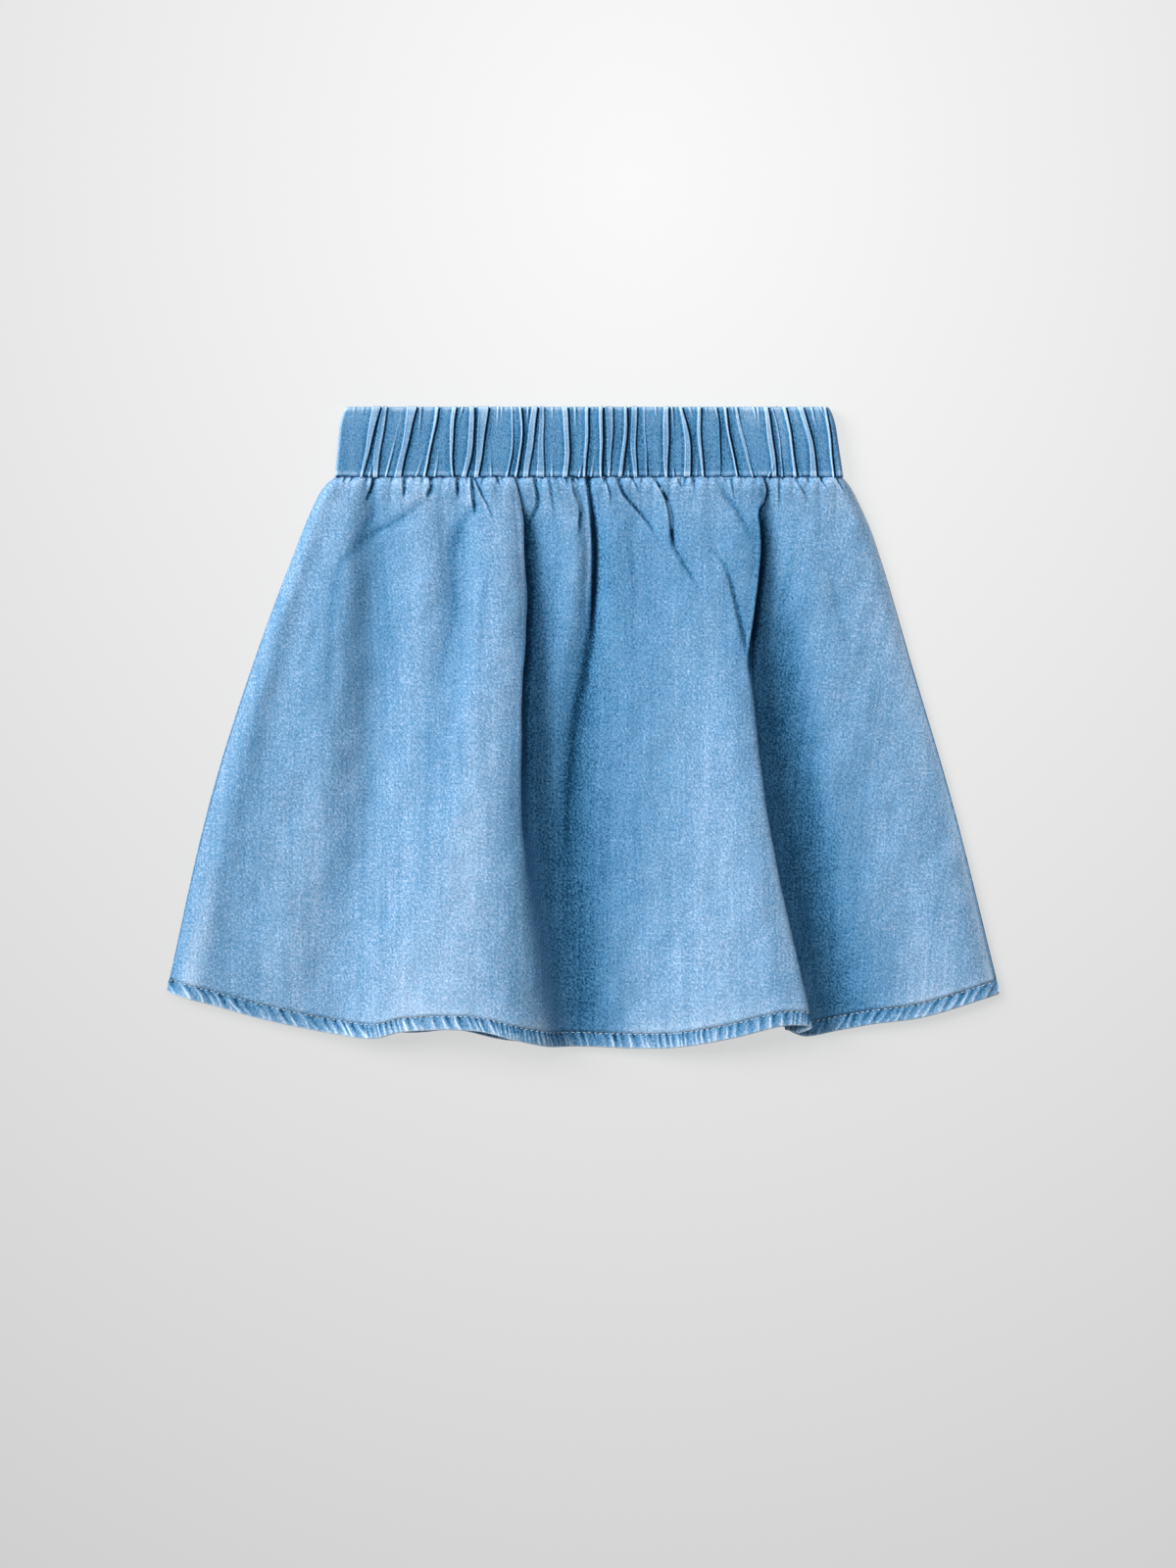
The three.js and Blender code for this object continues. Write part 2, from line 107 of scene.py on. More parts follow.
# Creases, in mm. Each has a crisp edge on its left, then drops by "deep" and comes back up over
# "reach"; "soft" is how rounded its edge is, and "dark" how dark it is painted beside its edge, for dye
# left in it and for painted shadow. Its edge runs through points of x, drop from the seam, and strength.
CREASES = [
    # deep, reach, soft, dark, edge
    (1.6, 1.8, 0.13, 4.6,
     [(-32.6, 0, 0.9), (-31.6, 6, 0.8), (-30.3, 11, 0.9), (-28.4, 20, 0.8), (-28.0, 27, 0)]),
    (2.2, 7.0, 0.16, 2.6,
     [(-29.4, 15, 0), (-28.3, 21, 0.8), (-27.8, 26, 1), (-27.6, 34, 1), (-26.4, 52, 1),
      (-27.0, 76, 1), (-28.4, 99, 1), (-28.8, 127, 0.9), (-28.6, 155, 0.7), (-27.0, 183, 0.3),
      (-24.0, 205, 0)]),
    (2.6, 4.6, 0.13, 6.0,
     [(1.2, 0, 0.8), (2.4, 8, 0.7), (3.6, 20, 0.9), (4.3, 34, 1), (4.1, 50, 0.9), (3.8, 62, 0.5),
      (3.2, 76, 0)]),
    (1.9, 5.5, 0.90, 2.6,
     [(4.0, 44, 0), (3.6, 58, 0.6), (2.4, 76, 1), (-1.0, 97, 0.9), (-4.6, 115, 0.8),
      (-7.0, 140, 0.5), (-8.6, 165, 0.3), (-9.5, 190, 0)]),
    (1.8, 1.9, 0.13, 5.0,
     [(85.6, 0, 0.9), (86.7, 7, 1), (85.8, 11, 1), (84.2, 15, 0.8), (83.2, 20, 0)]),
    (2.2, 5.5, 0.16, 3.4,
     [(84.0, 12, 0), (83.2, 17, 0.7), (84.0, 24, 1), (84.4, 34, 1), (82.9, 52, 1), (80.7, 70, 1),
      (78.3, 87, 0.8), (79.3, 98, 0.4), (82.2, 114, 0.15), (84.0, 135, 0)]),
    (2.0, 2.6, 0.13, 5.6,
     [(33.0, 0, 0.8), (38.7, 10, 1), (41.0, 18, 1), (41.5, 27, 0.9), (42.6, 34, 0)]),
    (1.4, 3.6, 0.60, 2.4,
     [(41.0, 26, 0), (42.6, 33, 0.8), (46.6, 41, 0.8), (50.6, 47, 0.6), (55.5, 56, 0)]),
    (2.1, 2.3, 0.13, 6.2,
     [(-5.8, 0, 1), (-4.2, 8, 1), (-1.8, 14.3, 0.8), (-1.9, 22, 0.6), (-2.0, 28, 0)]),
    (1.4, 2.0, 0.12, 4.6, [(-60.0, 0, 0.8), (-59.8, 6, 1), (-59.4, 12, 0)]),
    (1.5, 2.4, 0.12, 5.0, [(-53.2, 0, 0.8), (-52.5, 9, 1), (-51.9, 14, 0.8), (-51.6, 19, 0)]),
    (1.2, 2.0, 0.14, 3.4, [(-51.9, 0, 0.9), (-48.9, 7, 0.9), (-44.4, 16, 0.5), (-42.0, 24, 0)]),
    (1.0, 1.4, 0.12, 3.8, [(-40.9, 0, 1), (-40.2, 3, 0.8), (-39.6, 5.5, 0)]),
    (1.5, 2.2, 0.14, 4.6, [(-23.4, 0, 1), (-21.9, 12, 0.9), (-24.2, 18, 0.6), (-27.0, 24, 0)]),
    (1.2, 1.9, 0.13, 3.8, [(-16.6, 0, 0.9), (-14.9, 11, 0.7), (-13.2, 26, 0)]),
    (0.9, 1.6, 0.30, 2.0, [(-12.2, 0, 0.8), (-11.6, 6, 0.7), (-11.0, 12, 0)]),
    (1.0, 1.4, 0.12, 3.8, [(-8.6, 0, 1), (-8.1, 3, 0.8), (-7.6, 5.5, 0)]),
    (1.1, 1.8, 0.12, 3.8, [(10.1, 0, 0.9), (12.6, 8, 0.7), (12.8, 14, 0)]),
    (1.8, 3.6, 0.30, 3.2,
     [(15.9, 0, 0.8), (18.6, 8, 1), (23.7, 14, 1), (28.0, 19, 0.8), (31.8, 24, 0.5),
      (35.0, 31, 0)]),
    (1.0, 1.4, 0.12, 3.6, [(22.9, 0, 0.9), (24.8, 4, 0.8), (27.2, 8.5, 0)]),
    (1.4, 1.8, 0.12, 4.6, [(45.2, 0, 1), (45.8, 3, 0.9), (46.2, 6.5, 0)]),
    (1.0, 1.4, 0.12, 3.4, [(48.4, 0, 0.9), (47.8, 3, 0.7), (47.2, 6, 0)]),
    (1.0, 1.7, 0.14, 3.6, [(52.2, 0, 0.9), (52.4, 5, 0.8), (52.8, 10, 0)]),
    (1.5, 4.6, 0.80, 1.9,
     [(63.4, 0, 0.5), (66.0, 8, 0.8), (70.4, 13, 0.9), (74.6, 20, 0.8), (78.0, 27, 0.4),
      (80.6, 33, 0)]),
    (0.9, 1.4, 0.12, 3.2, [(67.0, 0, 0.9), (67.6, 4, 0)]),
    (1.0, 1.7, 0.12, 3.6, [(69.9, 0, 0.8), (70.6, 6, 0.7), (71.8, 12, 0)]),
    (0.9, 1.4, 0.12, 3.2, [(76.4, 0, 0.9), (76.8, 4, 0)]),
    (1.4, 2.0, 0.12, 4.4, [(-85.2, 0, 0.7), (-85.0, 6, 1), (-85.2, 11, 0)]),
    (1.5, 2.4, 0.12, 4.8, [(-73.2, 0, 1), (-72.5, 4.4, 1), (-73.8, 8, 0.8), (-74.4, 11, 0)]),
    (1.5, 2.4, 0.13, 4.8, [(-99.9, 0, 1), (-100.6, 4, 1), (-102.6, 9, 0.7), (-103.6, 12, 0)]),
    (0.9, 1.8, 0.13, 2.8, [(92.9, 0, 0.9), (93.0, 9, 0.6), (92.7, 17, 0)]),
    (1.0, 2.2, 0.25, 2.0, [(99.5, 0, 0.6), (103.5, 6, 0.8), (107.5, 13, 0)]),
    (1.0, 1.4, 0.12, 3.8, [(105.8, 0, 1), (106.4, 4, 0)]),
    (1.1, 1.5, 0.12, 3.4, [(112.0, 0, 1), (113.5, 3, 0.8), (116.5, 7, 0)]),
    (0.9, 1.4, 0.12, 3.0, [(119.6, 0, 1), (121.6, 4, 0.8), (124.6, 8.5, 0)]),
    (0.9, 6.5, 1.60, 1.7,
     [(-76.0, 9, 0), (-80.0, 14, 0.8), (-90.0, 21, 1), (-102.0, 27, 0.9), (-111.5, 36, 0.9),
      (-117.0, 44, 0.8), (-120.0, 58, 0.8), (-121.0, 78, 0.8), (-121.5, 98, 0.6),
      (-123.0, 120, 0)]),
    (0.9, 4.0, 1.40, 1.6,
     [(-99.4, 6, 0), (-100.0, 14, 0.9), (-101.4, 20, 1), (-106.5, 28, 0.6), (-111.0, 34, 0)]),
    (0.5, 6.0, 1.80, 1.8,
     [(-51.5, 12, 0), (-54.5, 16, 0.9), (-60.0, 25, 1), (-62.6, 36, 1), (-62.6, 50, 0.9),
      (-62.2, 66, 0.9), (-66.0, 84, 0.5), (-69.0, 108, 0)]),
    (1.2, 3.6, 0.45, 2.0,
     [(56.0, 30, 0), (63.0, 37, 0.4), (68.0, 46, 0.7), (71.0, 57, 1), (74.2, 71, 1),
      (76.2, 80, 0.8), (77.6, 90, 0)]),
    (0.8, 3.2, 0.90, 0.8, [(20.0, 26, 0), (22.5, 36, 1), (24.0, 50, 0.6), (25.0, 66, 0)]),
    (0.7, 4.0, 1.20, 0.5, [(-44.0, 40, 0), (-47.0, 56, 1), (-49.0, 80, 0.6), (-50.0, 104, 0)]),
    (0.7, 4.0, 1.20, 0.5, [(112.0, 30, 0), (118.0, 50, 1), (124.0, 75, 0.6), (128.0, 100, 0)]),
    (0.6, 4.0, 1.20, 0.4, [(-124.0, 60, 0), (-129.0, 76, 1), (-135.0, 96, 0.6), (-140.0, 120, 0)]),
]


def between(places, values, at):
    """Values between named places, by a cubic through all of them; values has one row a line."""
    at = np.atleast_1d(at)
    last = len(places) - 1
    k = np.clip(np.searchsorted(places, at, side="right") - 1, 0, last - 1)
    span = places[k + 1] - places[k]
    before, after = np.maximum(k - 1, 0), np.minimum(k + 2, last)
    start = (values[:, k + 1] - values[:, before]) / (places[k + 1] - places[before]) * span
    end = (values[:, after] - values[:, k]) / (places[after] - places[k]) * span
    u = (at - places[k]) / span
    rise = values[:, k + 1] - values[:, k]
    bend = (1 - u) * (start - rise) + u * (rise - end)
    return values[:, k] + u * rise + u * (1 - u) * bend


def through(knots, steps):
    """Smooth curves through rows of knots (rows, knots, 3), with steps[i] points in span i."""
    first = 2 * knots[:, :1] - knots[:, 1:2]
    final = 2 * knots[:, -1:] - knots[:, -2:-1]
    p = np.concatenate([first, knots, final], axis=1)
    gap = np.maximum(np.linalg.norm(np.diff(p, axis=1), axis=2), 1e-9) ** 0.5
    parts = []
    for i, count in enumerate(steps):
        p0, p1, p2, p3 = p[:, i], p[:, i + 1], p[:, i + 2], p[:, i + 3]
        d0, d1, d2 = (gap[:, i + j][:, None] for j in range(3))
        t1 = ((p1 - p0) / d0 - (p2 - p0) / (d0 + d1) + (p2 - p1) / d1) * d1
        t2 = ((p2 - p1) / d1 - (p3 - p1) / (d1 + d2) + (p3 - p2) / d2) * d1
        u = (np.arange(count) / count)[None, :, None]
        a, b, c, d = p1[:, None], p2[:, None], t1[:, None], t2[:, None]
        parts.append((2 * u**3 - 3 * u**2 + 1) * a + (u**3 - 2 * u**2 + u) * c
                     + (3 * u**2 - 2 * u**3) * b + (u**3 - u**2) * d)
    parts.append(knots[:, -1:])
    return np.concatenate(parts, axis=1)


def soft_step(u):
    u = np.clip(u, 0, 1)
    return u * u * (3 - 2 * u)


def swell(share):
    u = share / SWELL_AT
    return SWELL * u * np.exp(1 - u)


def rise(u, soft):
    return 1 / (1 + np.exp(-np.clip(u / soft, -30, 30)))


def bell(u, wide):
    return np.exp(-((u / wide) ** 2))


def creased(x, drop, table):
    """How deep the creases press the cloth in, in mm, and their tone, from x and drop in mm: dye and
    painted shadow beside each edge, and a paler lip for wear and a painted highlight.
    """
    depth, tone = np.zeros_like(x), np.zeros_like(x)
    for deep, reach, soft, dark, edge in table:
        place, mark, power = np.array(edge, float).T
        near = (drop >= mark[0]) & (drop <= mark[-1])
        middle, strength = between(mark, np.stack([place, power]), drop[near])
        strength = np.clip(strength, 0, 1)
        u = x[near] - middle
        step, away = rise(u, soft), np.maximum(u, 0)
        crisp = min(1, 0.2 / soft)
        lip = crisp * bell(u + 0.9 + soft, 0.9 + soft)
        depth[near] += strength * deep * (step * np.exp(-away / reach) - 0.25 * lip)
        width = (0.26 + 0.22 * strength) * reach
        # A paler lip just left of each edge: wear, and a painted highlight.
        wear_and_painted_shading = crisp * bell(u + 0.6 + soft, 0.35 + soft)
        shadow = step * (0.85 * np.exp(-((away / width) ** 3)) + 0.3 * np.exp(-away / reach))
        tone[near] += strength * dark * shadow - min(strength.max() * dark, 3) * 0.40 * wear_and_painted_shading * strength
    return depth, tone


def notches(start, end, gap, draw):
    """Short creases all along the seam, where the gathering stitches pull the cloth in."""
    table = []
    place = start
    while place < end:
        deep, down = draw.uniform(0.5, 1.4), draw.uniform(1.6, 4.6)
        lean = draw.uniform(-1.2, 1.2) + place * 0.008
        table.append((deep, draw.uniform(0.8, 1.3), 0.12, 2.8 * deep,
                      [(place, 0, 1), (place + lean * 0.5, down * 0.6, 0.7), (place + lean, down, 0)]))
        place += gap * draw.uniform(0.5, 1.6)
    return table


SIDE_ROUND = (0.0040, 0.0014)  # how far in from each side seam the cloth rounds over to it
SIDE_MIDDLE = 0.0018          # the height at which front and back meet at the side seams


def round_sides(points, middle):
    """Rounds the cloth over to the side seams, where the front meets the back."""
    x = points[:, :, 0]
    inward = np.minimum((x - x[:, :1]) / SIDE_ROUND[0], (x[:, -1:] - x) / SIDE_ROUND[1])
    u = np.clip(inward, 0, 1)
    points[:, :, 2] = middle + (points[:, :, 2] - middle) * np.sqrt(1 - (1 - u) ** 2)
    return points


def front_face(shares, steps):
    """The front's outer face at each share of its length: points (row, column, 3)."""
    x, z = between(STATIONS, LINE_X, shares), between(STATIONS, LINE_Z, shares)
    side = np.zeros(len(LINE_DROP))
    side[:2], side[-2:] = -1, 0.5
    x = x + side[:, None] * swell(shares)
    y = WAIST - shares * LINE_DROP[:, None]
    return through(np.stack([x.T, y.T, z.T], axis=2), steps)


def facing(grid):
    """The direction that a grid of points looks in, at each point."""
    across, down = np.gradient(grid, axis=1), np.gradient(grid, axis=0)
    out = np.cross(down, across)
    return out / np.maximum(np.linalg.norm(out, axis=2, keepdims=True), 1e-12)


# Columns are shared out so that the cloth between two lines gets as many as its width needs.
# Below the gathers every second column is left out, and the inner face has every fourth.
FRONT_COLUMNS = 160
FINE_ROWS, PLAIN_ROWS = 81, 83
FINE_DROP = 0.090             # how far down the close rows go
UNDER_BAND = 0.0006           # how far its edge goes up under the waistband
GAUGES = np.array([0.1, 0.5, 0.95])          # where along its length the widths are taken
spans = front_face(GAUGES, [1] * (len(LINE_DROP) - 1))
widths = np.linalg.norm(np.diff(spans, axis=1), axis=2).mean(0)
front_steps = 4 * np.maximum(1, np.round(FRONT_COLUMNS * widths / widths.sum())).astype(int)
fine = np.linspace(0, 1, FINE_ROWS)
plain = np.linspace(0, 1, PLAIN_ROWS + 1)[1:]
fine_end = FINE_DROP / LONGEST
front_shares = np.concatenate([[-UNDER_BAND / LONGEST], fine_end * (0.4 * fine + 0.6 * fine**2),
                               fine_end + (HEM_START - fine_end) * plain])
front_grid = front_face(front_shares, front_steps)


def cloth_uv(grid):
    """Where each point lies on the flat cloth: along its row from the middle, and down."""
    step = np.linalg.norm(np.diff(grid, axis=1), axis=2)
    across = np.concatenate([np.zeros((len(grid), 1)), np.cumsum(step, axis=1)], axis=1)
    middle = across[np.arange(len(grid)), np.abs(grid[:, :, 0]).argmin(axis=1)]
    return np.stack([across - middle[:, None], grid[:, :, 1]], axis=2)


# How dark the cloth is along each line at each station: dye left in the valleys, painted shade in the
# folds, and where it is paler, painted highlights on crests and edges. 0 is the plain faded cloth, and
# below 0 is paler.
DYE_AND_PAINTED_SHADING = np.array([
    (0.3, 0.2, -0.2, -0.2, 0.9),  # left seam
    (0.0, -0.3, 0.15, 0.1, -1.1),  # left shoulder
    (0.0, -0.1, 0.1, 0.1, 0.25),  # side dip
    (0.0, 0.1, 0.1, -0.35, -0.3),  # left flat
    (0.2, 0.9, 0.5, 0.1, -0.2),  # side valley
    (-0.4, -0.2, 0.0, -0.1, -0.4),  # side crest
    (0.1, 0.4, 0.5, -0.1, -0.8),  # hip valley
    (0.1, 0.0, -0.2, -0.5, -0.4),  # left crest
    (0.1, -0.3, -0.2, -0.2, -0.1),  # left brow
    (0.2, -0.2, 0.4, 0.4, -0.4),  # left edge
    (0.2, 1.3, 1.8, 1.6, 0.9),  # left foot
    (0.2, 0.1, 1.3, 2.1, 2.2),  # foot crest
    (0.2, 0.4, 1.9, 2.5, 2.2),  # centre crease
    (0.2, 0.8, 1.0, 1.2, -0.2),  # centre rise
    (0.2, 0.8, 0.6, 0.3, -0.5),  # centre slope
    (0.1, 0.5, 0.0, -0.3, -0.4),  # centre crest
    (0.1, 0.6, 0.4, -0.1, -0.2),  # centre brow
    (0.3, 1.8, 0.2, -0.6, -0.4),  # right edge
    (0.5, 1.3, 0.5, -0.1, -0.4),  # right return
    (0.5, 1.9, 0.9, 0.4, -0.4),  # right turn
    (0.3, 1.1, 2.1, 2.2, 0.6),  # right foot
    (0.2, 0.5, 2.1, 2.4, 2.2),  # foot end
    (0.0, 0.1, 0.4, 0.8, 1.2),  # right rise
    (0.0, 0.0, 0.1, 0.0, -0.6),  # right crest
    (-0.6, -0.4, -0.5, -0.3, -0.25),  # right shoulder
    (-1.2, -1.0, -0.9, -1.1, -1.6),  # right seam
])


def dye_and_shading_at(shares, steps):
    """The front's dye and painted shading at each point of its grid."""
    lines = np.concatenate([k + np.arange(n) / n for k, n in enumerate(steps)] + [[len(steps)]])
    return between(np.arange(len(DYE_AND_PAINTED_SHADING)), between(STATIONS, DYE_AND_PAINTED_SHADING, shares).T, lines)


PUFF = 0.0020                 # how far the gathered cloth puffs out just below the seam
PUFF_AT = 0.0045
TUCK_IN = 0.0019              # how far it dips where it goes into the seam
RUMPLE = 0.00004              # height of the small unevenness all over washed cloth


def rumple(x, y, seed):
    """Slight unevenness of washed cloth that has been handled: many long weak waves."""
    draw = np.random.default_rng(seed)
    height = np.zeros_like(x)
    for length in np.geomspace(0.009, 0.05, 22):
        turn = draw.normal(0, 0.55)
        phase = (x * math.cos(turn) + y * math.sin(turn) * 0.45) / length + draw.uniform(0, 1)
        drift = 0.35 * np.sin(2 * np.pi * (y / (length * 3.3) + draw.uniform(0, 1)))
        height += np.sin(2 * np.pi * (phase + drift)) * (length / 0.02) ** 0.7
    return height * RUMPLE


PILLOW = 0.17                 # how far it bulges between two gathers, as a share of their gap
LOWEST = 0.0019               # the front's outer face comes no lower than this over the back


def pillows(x, table):
    """Where the cloth bulges between gathers that start at the seam (0..1), and their gap in mm."""
    places = np.sort([edge[0][0] for *_, edge in table if edge[0][1] == 0])
    k = np.clip(np.searchsorted(places, x), 1, len(places) - 1)
    gap = places[k] - places[k - 1]
    u = np.clip((x - places[k - 1]) / gap, 0, 1)
    return np.sin(np.pi * u) ** 0.7, np.clip(gap, 2, 9)


TUCK_REACH = 0.0004           # how far down from the seam that dip reaches
SIDE_HOLD = 0.006             # how far from the side seams the gathers fade out
# Painted shade along the waist seam, fading out just below it.
SEAM_SHADE, SEAM_SHADE_REACH = 1.4, 0.0003
RIM_LIGHT, RIM_WIDE = 1.8, 0.0009             # painted light along the right side seam, against the shade where it rounds away
PUFF_PALE = (0.5, 2.5, 3.5)                  # paleness, drop in mm and width in mm, on the puffs: wear, and a painted highlight on their tops
LOWER_PALE = (0.25, 12, 8)                   # and paler over all the cloth below them


def press(grid, table):
    """Moves the cloth in where its gathers are and out where it puffs below the seam."""
    x, y = grid[:, :, 0], grid[:, :, 1]
    drop = WAIST - y
    depth, tone = creased(x / MM, drop / MM, table)
    low = np.maximum(drop, 0)
    arch, gap = pillows(x / MM, table)
    puff = PUFF * low / PUFF_AT * np.exp(1 - low / PUFF_AT)
    puff -= TUCK_IN * (1 - 0.85 * arch) * np.exp(-low / TUCK_REACH)
    bulge = PILLOW * gap * arch * np.exp(-low / MM / (1.3 * gap)) * MM
    puff += bulge * soft_step((drop + 0.0004) / 0.0014)
    side = np.minimum(x - x[:, :1], x[:, -1:] - x)
    hold = soft_step(side / SIDE_HOLD)
    uneven = rumple(x, y, 5) * soft_step(drop / 0.02)
    # Painted shade along the seam, weaker under the puffs.
    tone = tone * hold + SEAM_SHADE * (1 - 0.9 * arch) * np.exp(-low / SEAM_SHADE_REACH)
    # The puffs are paler for wear and a painted highlight on their tops, and a band of cloth below them is
    # paler too.
    tone -= PUFF_PALE[0] * arch * bell(drop / MM - PUFF_PALE[1], PUFF_PALE[2])
    tone -= LOWER_PALE[0] * bell(drop / MM - LOWER_PALE[1], LOWER_PALE[2])
    # Painted light along the right side seam, where the cloth rounds away from the light.
    tone -= RIM_LIGHT * bell(x[:, -1:] - x, RIM_WIDE)
    made = grid + facing(grid) * (hold * (puff + uneven - depth * MM))[:, :, None]
    made[:, :, 2] = np.where(side > SIDE_HOLD, np.maximum(made[:, :, 2], LOWEST), made[:, :, 2])
    return made, tone


def stitched(many, few, flip):
    """Faces between two rows of points, one with a whole number of steps to each of the other's."""
    k = (len(many) - 1) // (len(few) - 1)
    faces = []
    for i in range(len(few) - 1):
        face = [*many[i * k:(i + 1) * k + 1].tolist(), int(few[i + 1]), int(few[i])]
        faces.append(face[::-1] if flip else face)
    return faces


def cloth_piece(name, points, faces, uv, tone):
    """A smooth piece with its place on the flat cloth as UV and its tone as an attribute."""
    mesh = bpy.data.meshes.new(name)
    mesh.from_pydata(points.tolist(), [], faces)
    corners = np.zeros(len(mesh.loops), np.int32)
    mesh.loops.foreach_get("vertex_index", corners)
    layer = mesh.uv_layers.new(name="Cloth")
    layer.data.foreach_set("uv", uv[corners].astype(np.float32).ravel())
    fold = mesh.attributes.new("fold", "FLOAT", "POINT")
    fold.data.foreach_set("value", tone.astype(np.float32))
    mesh.polygons.foreach_set("use_smooth", [True] * len(mesh.polygons))
    mesh.update()
    piece = bpy.data.objects.new(name, mesh)
    bpy.context.scene.collection.objects.link(piece)
    return piece


def build_shell(name, outer, inner, uv, tone, fine_rows):
    """A thin closed shell between two grids of points, with its place on the flat cloth as UV."""
    r, c = outer.shape[:2]
    n = r * c
    grid = np.arange(n).reshape(r, c)
    close, open_rows, under = grid[:fine_rows + 1], grid[fine_rows:, ::2], grid[::2, ::4] + n
    faces = []
    for part, sign in ((close, 1), (open_rows[1:], 1), (under, -1)):
        quads = np.stack([part[:-1, :-1], part[1:, :-1], part[1:, 1:], part[:-1, 1:]], axis=-1)
        faces += quads.reshape(-1, 4)[:, ::sign].tolist()
    last = grid[-1]
    if len(open_rows) > 1:
        faces += stitched(close[-1], open_rows[1], True)
        last = open_rows[-1]
    faces += stitched(grid[0], under[0], False) + stitched(last, under[-1], True)
    faces += stitched(grid[:, 0], under[:, 0], True) + stitched(grid[:, -1], under[:, -1], False)
    used = np.unique(np.concatenate([np.array(f) for f in faces]))
    place = np.zeros(2 * n, int)
    place[used] = np.arange(len(used))
    points = np.concatenate([outer.reshape(-1, 3), inner.reshape(-1, 3)])[used]
    flat = np.concatenate([uv.reshape(-1, 2)] * 2)[used]
    both = np.concatenate([tone.ravel()] * 2)[used]
    return cloth_piece(name, points, [place[f].tolist() for f in faces], flat, both)


class Wire:
    """A socket of a shader. Sums written on it become Math nodes."""

    def __init__(self, tree, socket=None):
        self.tree, self.socket = tree, socket

    def node(self, kind, settings=None, inputs=None, out=0):
        made = self.tree.nodes.new(kind)
        for name, value in (settings or {}).items():
            if name == "stops":
                ramp = made.color_ramp
                while len(ramp.elements) < len(value):
                    ramp.elements.new(0.5)
                for stop, (place, colour) in zip(ramp.elements, value):
                    stop.position = place
                    stop.color = (*colour, 1)
            else:
                setattr(made, name, value)
        for key, value in (inputs or {}).items():
            if isinstance(value, Wire):
                self.tree.links.new(value.socket, made.inputs[key])
            else:
                made.inputs[key].default_value = value
        return Wire(self.tree, made.outputs[out])

    def _sum(self, how, first, second):
        return self.node("ShaderNodeMath", {"operation": how}, {0: first, 1: second})

    def __add__(self, other):
        return self._sum("ADD", self, other)

    def __sub__(self, other):
        return self._sum("SUBTRACT", self, other)

    def __rsub__(self, other):
        return self._sum("SUBTRACT", other, self)

    def __mul__(self, other):
        return self._sum("MULTIPLY", self, other)

    __radd__, __rmul__ = __add__, __mul__

    def clamp(self, low, high):
        return self._sum("MINIMUM", self._sum("MAXIMUM", self, low), high)


def noise(wire, where, scale, detail=2.0, rough=0.5):
    """Noise centred on 0, from about -0.5 to 0.5."""
    settings = {"noise_dimensions": "3D"}
    inputs = {"Vector": where, "Scale": scale, "Detail": detail, "Roughness": rough}
    return wire.node("ShaderNodeTexNoise", settings, inputs) - 0.5


def turned(wire, where, angle, scale):
    """Coordinates turned by an angle and then stretched, for marks that run one way."""
    spun = wire.node("ShaderNodeMapping", {"vector_type": "TEXTURE"},
                     {"Vector": where, "Rotation": (0, 0, math.radians(angle))})
    return wire.node("ShaderNodeMapping", {"vector_type": "POINT"}, {"Vector": spun, "Scale": scale})


# The dyed warp and the pale weft of the denim, from the deepest fold to the most worn ridge; the darkest
# stops also give the painted shadow in the creases
INK_AND_SHADOW = (0.001, 0.013, 0.040)
DEEP = (0.007, 0.059, 0.135)
DYED = (0.056, 0.184, 0.350)
LIT = (0.144, 0.286, 0.470)
PALE = (0.340, 0.480, 0.690)
BARE = (0.590, 0.700, 0.810)
CHALK = (0.620, 0.740, 0.860)
DENIM_STOPS = [(0.0, INK_AND_SHADOW), (0.2, DEEP), (0.4, DYED), (0.6, LIT), (0.8, PALE), (1.0, BARE)]


